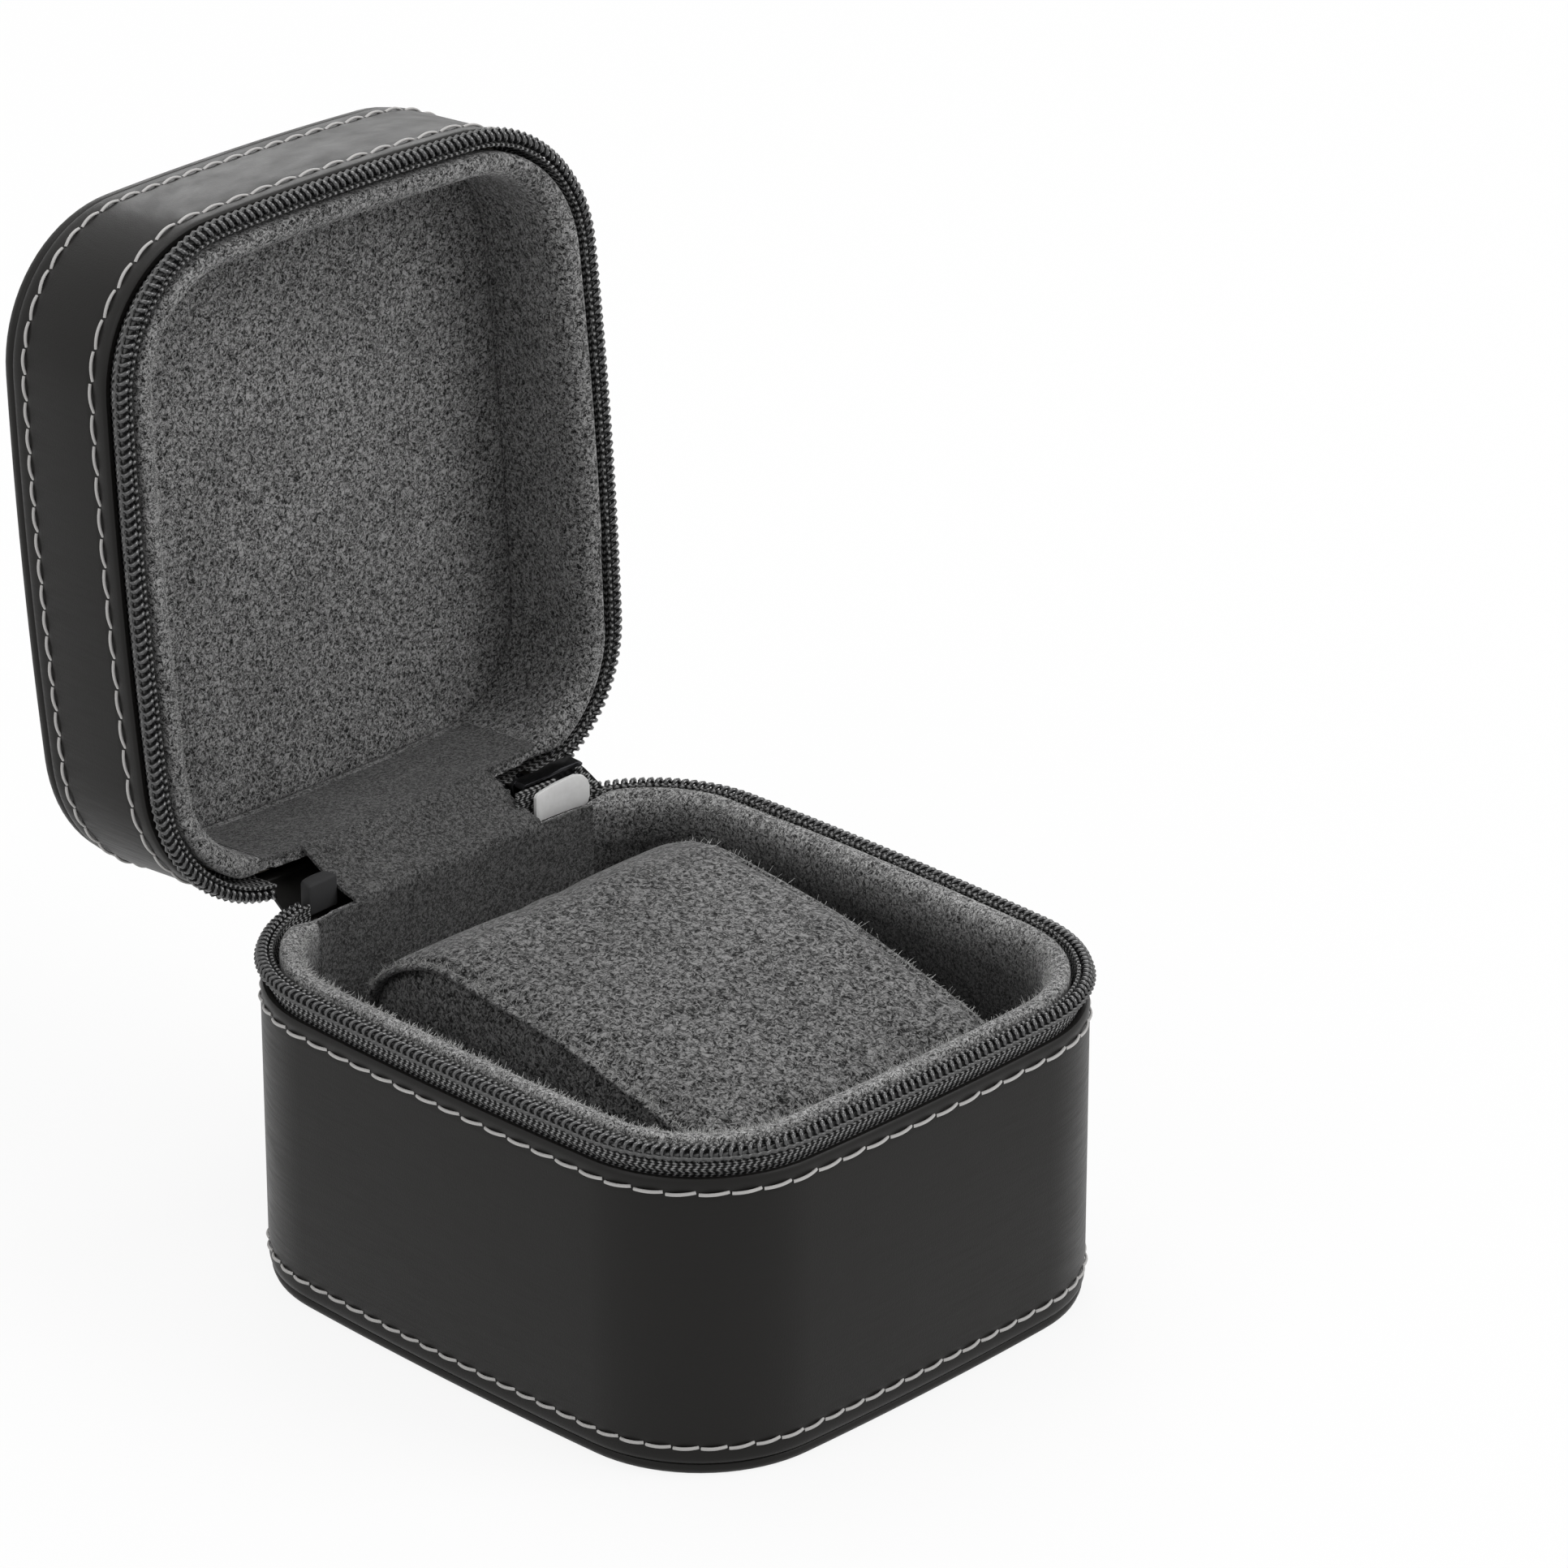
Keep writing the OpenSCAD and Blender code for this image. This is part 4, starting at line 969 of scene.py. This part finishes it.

# %% [markdown]
# The lid's tape can't follow a blend through the slider, so it stops before the slider's
# mouth, and a web of the same cloth joins it to the base there.

# %% The lid's tape where it runs into the slider
def lead_tape():
    first, last, middle = SLIDER_S - 9.0, SLIDER_S + 7.2, 1.66
    bm = bmesh.new()
    bmesh.ops.create_grid(bm, x_segments=24, y_segments=8, size=0.5)
    for v in bm.verts:
        s = first + (last - first) * (v.co.x + 0.5)
        point, out = on_path(ZIP_PATH, s)
        reach = 1.5 + 3.7 * clamp((s - MOUTH_S + 1.0) / 2.0)
        low = Vector((point.x, point.y, ZIP_Z - 0.6)) - out * middle
        high = OPENED @ (Vector((point.x, point.y, ZIP_Z + reach)) - out * middle)
        k = v.co.y + 0.5
        v.co = low.lerp(high, k) + Vector((0, 0, 0.9 * math.sin(math.pi * k)))
    thicken(bm, 0.35)
    layer = bm.loops.layers.uv.new("run")
    for face in bm.faces:
        for loop in face.loops:
            loop[layer].uv = (loop.vert.co.x, loop.vert.co.y)
    finish_piece(bm, "lead_tape", zip_tape, None, sharp=60,
                 blend=("base", "lid", (0, 0.0515, 0.0534), (0, 0.0570, 0.0530)))


lead_tape()

# %% [markdown]
# ## Zip stop, slider and pull
# These small castings come from the CAD model with their exact shapes. Die-cast metal has no
# sharp edges, so a merged copy of each is bevelled, which catches the light as the real edges
# do.

# %% Castings
def casting(node, name, finish, body, width):
    """A merged copy of a CAD node with its edges bevelled by a width in millimetres."""
    bm = bmesh.new()
    bm.from_mesh(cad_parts[node].data)
    bmesh.ops.scale(bm, vec=(1000, 1000, 1000), verts=bm.verts)
    bmesh.ops.remove_doubles(bm, verts=bm.verts, dist=0.002)
    bmesh.ops.dissolve_limit(bm, angle_limit=math.radians(2), verts=bm.verts, edges=bm.edges)
    sharp = [e for e in bm.edges
             if len(e.link_faces) == 2 and e.calc_face_angle(0) > math.radians(33)]
    bmesh.ops.bevel(bm, geom=sharp, offset=width, segments=2, profile=0.5, affect="EDGES",
                    material=-1, clamp_overlap=True, harden_normals=False)
    return finish_piece(bm, name, finish, body, [node], sharp=38)


slider = casting("slider_body", "slider", gunmetal, "slider", 0.16)
casting("pull_link", "link", gunmetal, "pull_link", 0.16)
casting("pull_tab", "tab", gunmetal, "pull_tab", 0.2)
casting("zipper_left_end", "zip_stop", stop_cloth, "base", 0.4)
slider.data.materials.append(bright_metal)
slider_mid, slider_out = on_path(ZIP_PATH, SLIDER_S)
inner_plate = -1.9
for face in slider.data.polygons:
    if (face.center - slider_mid * MM).dot(slider_out) < inner_plate * MM:
        face.material_index = 1
print("slider", sum(face.material_index for face in slider.data.polygons), "bright faces")

# %% [markdown]
# ## The pillow
# The pillow is a foam block in a suede sleeve. Its end panels sit a little inside the sleeve,
# and the sleeve's edge shows as a thick lip round each one. We start from rings of points
# that follow the pillow's outline, join them, and let a cloth simulation puff the sleeve up
# between its seams.

# %% Pillow shape
PILLOW_HALF, PILLOW_FOOT, PILLOW_H, PILLOW_CROWN = 29.0, 5.3, 49.0, 0.8
END_VIEW = [(0.5, 0), (0.7, 0.005), (0.79, 0.06), (0.825, 0.25), (0.83, 0.5), (0.82, 0.66),
            (0.79, 0.8), (0.725, 0.885), (0.6, 0.96), (0.44, 1), (0.21, 0.985), (-0.16, 0.945),
            (-0.45, 0.884), (-0.62, 0.845), (-0.78, 0.8), (-0.89, 0.75), (-0.955, 0.66),
            (-0.98, 0.45), (-0.975, 0.2), (-0.94, 0.06), (-0.85, 0.005), (-0.65, 0)]


def smooth_line(points, per=4):
    """A closed line through the points, drawn smooth in steps."""
    n, out = len(points), []
    for i in range(n):
        a, b, c, d = (Vector(points[(i + k) % n]) for k in (-1, 0, 1, 2))
        for k in range(per):
            t = k / per
            p = 0.5 * (2 * b + t * (c - a) + t * t * (2 * a - 5 * b + 4 * c - d)
                       + t ** 3 * (3 * b - a - 3 * c + d))
            out.append((p.x, max(p.y, 0.0)))
    return out


PILLOW_LINE = smooth_line(END_VIEW)


def pillow_ring(x, draw_in=0.0, share=1.0):
    """The pillow's section at x, drawn in along its own normals, then towards its middle."""
    near = min(abs(x), PILLOW_HALF)
    k = wall_y(near, 6.6)
    m = PILLOW_H + PILLOW_CROWN * (1 - (near / PILLOW_HALF) ** 2)
    pts = [Vector((x, y * k, PILLOW_FOOT + z * m)) for y, z in PILLOW_LINE]
    n = len(pts)
    out = []
    for i, p in enumerate(pts):
        u = pts[(i + 2) % n] - pts[i - 2]
        out.append(p + draw_in * Vector((0, -u.z, u.y)).normalized())
    mid = sum(out, Vector()) / n
    return [mid + (p - mid) * share for p in out]


def loft(rings, close_ends=True):
    bm = bmesh.new()
    join_rings(bm, rings, close_ends)
    bmesh.ops.recalc_face_normals(bm, faces=bm.faces)
    return bm


print("pillow outline of", len(PILLOW_LINE), "points")

# %% [markdown]
# A stuffed sleeve bulges between its seams. Blender's cloth solver finds that form: the
# sleeve's edges and foot are held, pressure swells the rest for a few frames, and the moves
# are kept within a limit. The solver is made for things about a metre wide, so the sleeve is
# enlarged for it.

# %% The cloth solver
def puff(bm, held, frames=20, cap=1.1):
    """Swells a shell between the points that are held, by cap millimetres at most."""
    scale = 10.0
    bmesh.ops.scale(bm, vec=[MM * scale] * 3, verts=bm.verts)
    data = bpy.data.meshes.new("puff")
    bm.to_mesh(data)
    bm.free()
    start = [v.co.copy() for v in data.vertices]
    item = bpy.data.objects.new("puff", data)
    bpy.context.scene.collection.objects.link(item)
    group = item.vertex_groups.new(name="held")
    for i, v in enumerate(data.vertices):
        group.add([i], held(v.co / (MM * scale)), "REPLACE")
    cloth = item.modifiers.new("cloth", "CLOTH")
    cloth.settings.vertex_group_mass = "held"
    cloth.settings.quality = 6
    cloth.settings.mass = 0.3
    cloth.settings.tension_stiffness = cloth.settings.compression_stiffness = 25
    cloth.settings.bending_stiffness = 0.6
    cloth.settings.use_pressure = True
    cloth.settings.uniform_pressure_force = 2.5
    cloth.settings.shrink_min = -0.02
    cloth.settings.effector_weights.gravity = 0
    cloth.point_cache.frame_start, cloth.point_cache.frame_end = 1, frames
    for frame_number in range(1, frames + 1):
        bpy.context.scene.frame_set(frame_number)
    solved = item.evaluated_get(bpy.context.evaluated_depsgraph_get()).to_mesh()
    moves = []
    out = bmesh.new()
    out.from_mesh(data)
    for v, a, b in zip(out.verts, start, solved.vertices):
        move = (b.co - a) / (MM * scale)
        if move.length > cap:
            move *= cap / move.length
        moves.append(move.length)
        v.co = a / (MM * scale) + move
    item.evaluated_get(bpy.context.evaluated_depsgraph_get()).to_mesh_clear()
    bpy.context.scene.frame_set(1)
    bpy.data.objects.remove(item)
    bpy.data.meshes.remove(data)
    print("cloth moved", round(sum(moves) / len(moves), 2), "mm, at most", round(max(moves), 2))
    return out


print("cloth solver ready")

# %% [markdown]
# The sleeve runs from lip to lip. A seam draws it in just before each end, and behind the
# seam it turns over the edge into a thick lip round the end panel.

# %% The sleeve
SEAM = 0.955
stations = sorted(set([i / 14 for i in range(-13, 14)] + [
    side * f for side in (-1, 1) for f in (0.942, SEAM, 0.968, 0.98, 0.993, 1)]))
sleeve_rings = []
for f in stations:
    lip = 0.45 * max(0.0, (abs(f) - SEAM) / 0.045)
    seam = 0.6 if abs(abs(f) - SEAM) < 0.002 else 0.0
    sleeve_rings.append(pillow_ring(f * PILLOW_HALF, 0.5 + lip + seam))
lips = [[pillow_ring(side * (PILLOW_HALF - back), draw) for back, draw in
         ((-0.12, 1.2), (0.12, 1.62), (0.7, 1.85), (1.6, 1.9), (2.6, 1.95))] for side in (-1, 1)]
sleeve = loft(list(reversed(lips[0])) + sleeve_rings + lips[1], close_ends=False)


def held_sleeve(p):
    edge, foot = (abs(p.x) - PILLOW_HALF + 1.9) / 0.8, (PILLOW_FOOT + 3.0 - p.z) / 2.0
    return clamp(max(edge, foot))


sleeve = puff(sleeve, held_sleeve)
pillow = finish_piece(sleeve, "pillow_sleeve", pillow_suede, "pillow",
                      ["pillow_cover", "pillow_core"], sharp=180)
smoother = pillow.modifiers.new("smooth", "SUBSURF")
smoother.levels = smoother.render_levels = 1
print("pillow", [round(v * 1000, 1) for v in pillow.dimensions])

# %% [markdown]
# The end panels are stuffed too, so each is a shallow dome: rings of the same outline, drawn
# in step by step towards the middle.

# %% End panels
PANEL_AT = PILLOW_HALF - 2.0
DOME = [(-0.9, 1.9, 1), (-0.1, 1.92, 1), (0.1, 2.15, 1), (0.45, 2.3, 0.97), (0.85, 2.3, 0.9),
        (1.1, 2.3, 0.78), (1.25, 2.3, 0.6), (1.3, 2.3, 0.4), (1.3, 2.3, 0.18)]
for side, name in ((-1, "left"), (1, "right")):
    rings = [pillow_ring(side * (PANEL_AT + rise), draw, share) for rise, draw, share in DOME]
    end = finish_piece(loft(rings), "pillow_panel_" + name, panel_suede, "pillow",
                       ["pillow_end_" + name], sharp=180)

# %% [markdown]
# The sleeve's cut edge frays like the rims do, so the same spikes go along both lips, more of
# them on the left one, which the case's opening shows.

# %% Fibres on the pillow's edges
dice = random.Random("edges")
edge_roots = []
for side in (-1, 1):
    lip_ring = pillow_ring(side * PILLOW_HALF, 0.75)
    inner_ring = pillow_ring(side * PILLOW_HALF, 2.0)
    count = 0
    while count < (1400 if side < 0 else 700):
        i, mix = dice.randrange(len(lip_ring)), dice.random()
        p = lip_ring[i - 1].lerp(lip_ring[i], mix)
        if p.z > PILLOW_FOOT + 8:
            away = (p - inner_ring[i - 1].lerp(inner_ring[i], mix)).normalized()
            back = dice.uniform(0, 2.2)
            lean = away * 0.55 + Vector((side * dice.uniform(-0.2, 0.9), 0, 0))
            edge_roots.append((p - Vector((side * back, 0, 0)) + away * 0.05, lean))
            count += 1
strew("pillow_fibres", edge_roots, "pillow", (0.5, 1.4))

# %% [markdown]
# ## The end
# What no piece replaces stays as the CAD model has it: the boards and the padding inside the
# walls get the colours of fibre board and foam.

# %% Finish
boards = plain("fibre_board", (0.3, 0.27, 0.22), 0.9, grain=0.05, grain_scale=3.0)
foam = plain("foam", (0.6, 0.56, 0.48), 0.95, grain=0.1, grain_scale=2.0)
for node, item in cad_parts.items():
    if not item.hide_render:
        item.data.materials.clear()
        item.data.materials.append(foam if "padding" in node else boards)
        print("CAD node kept:", node)
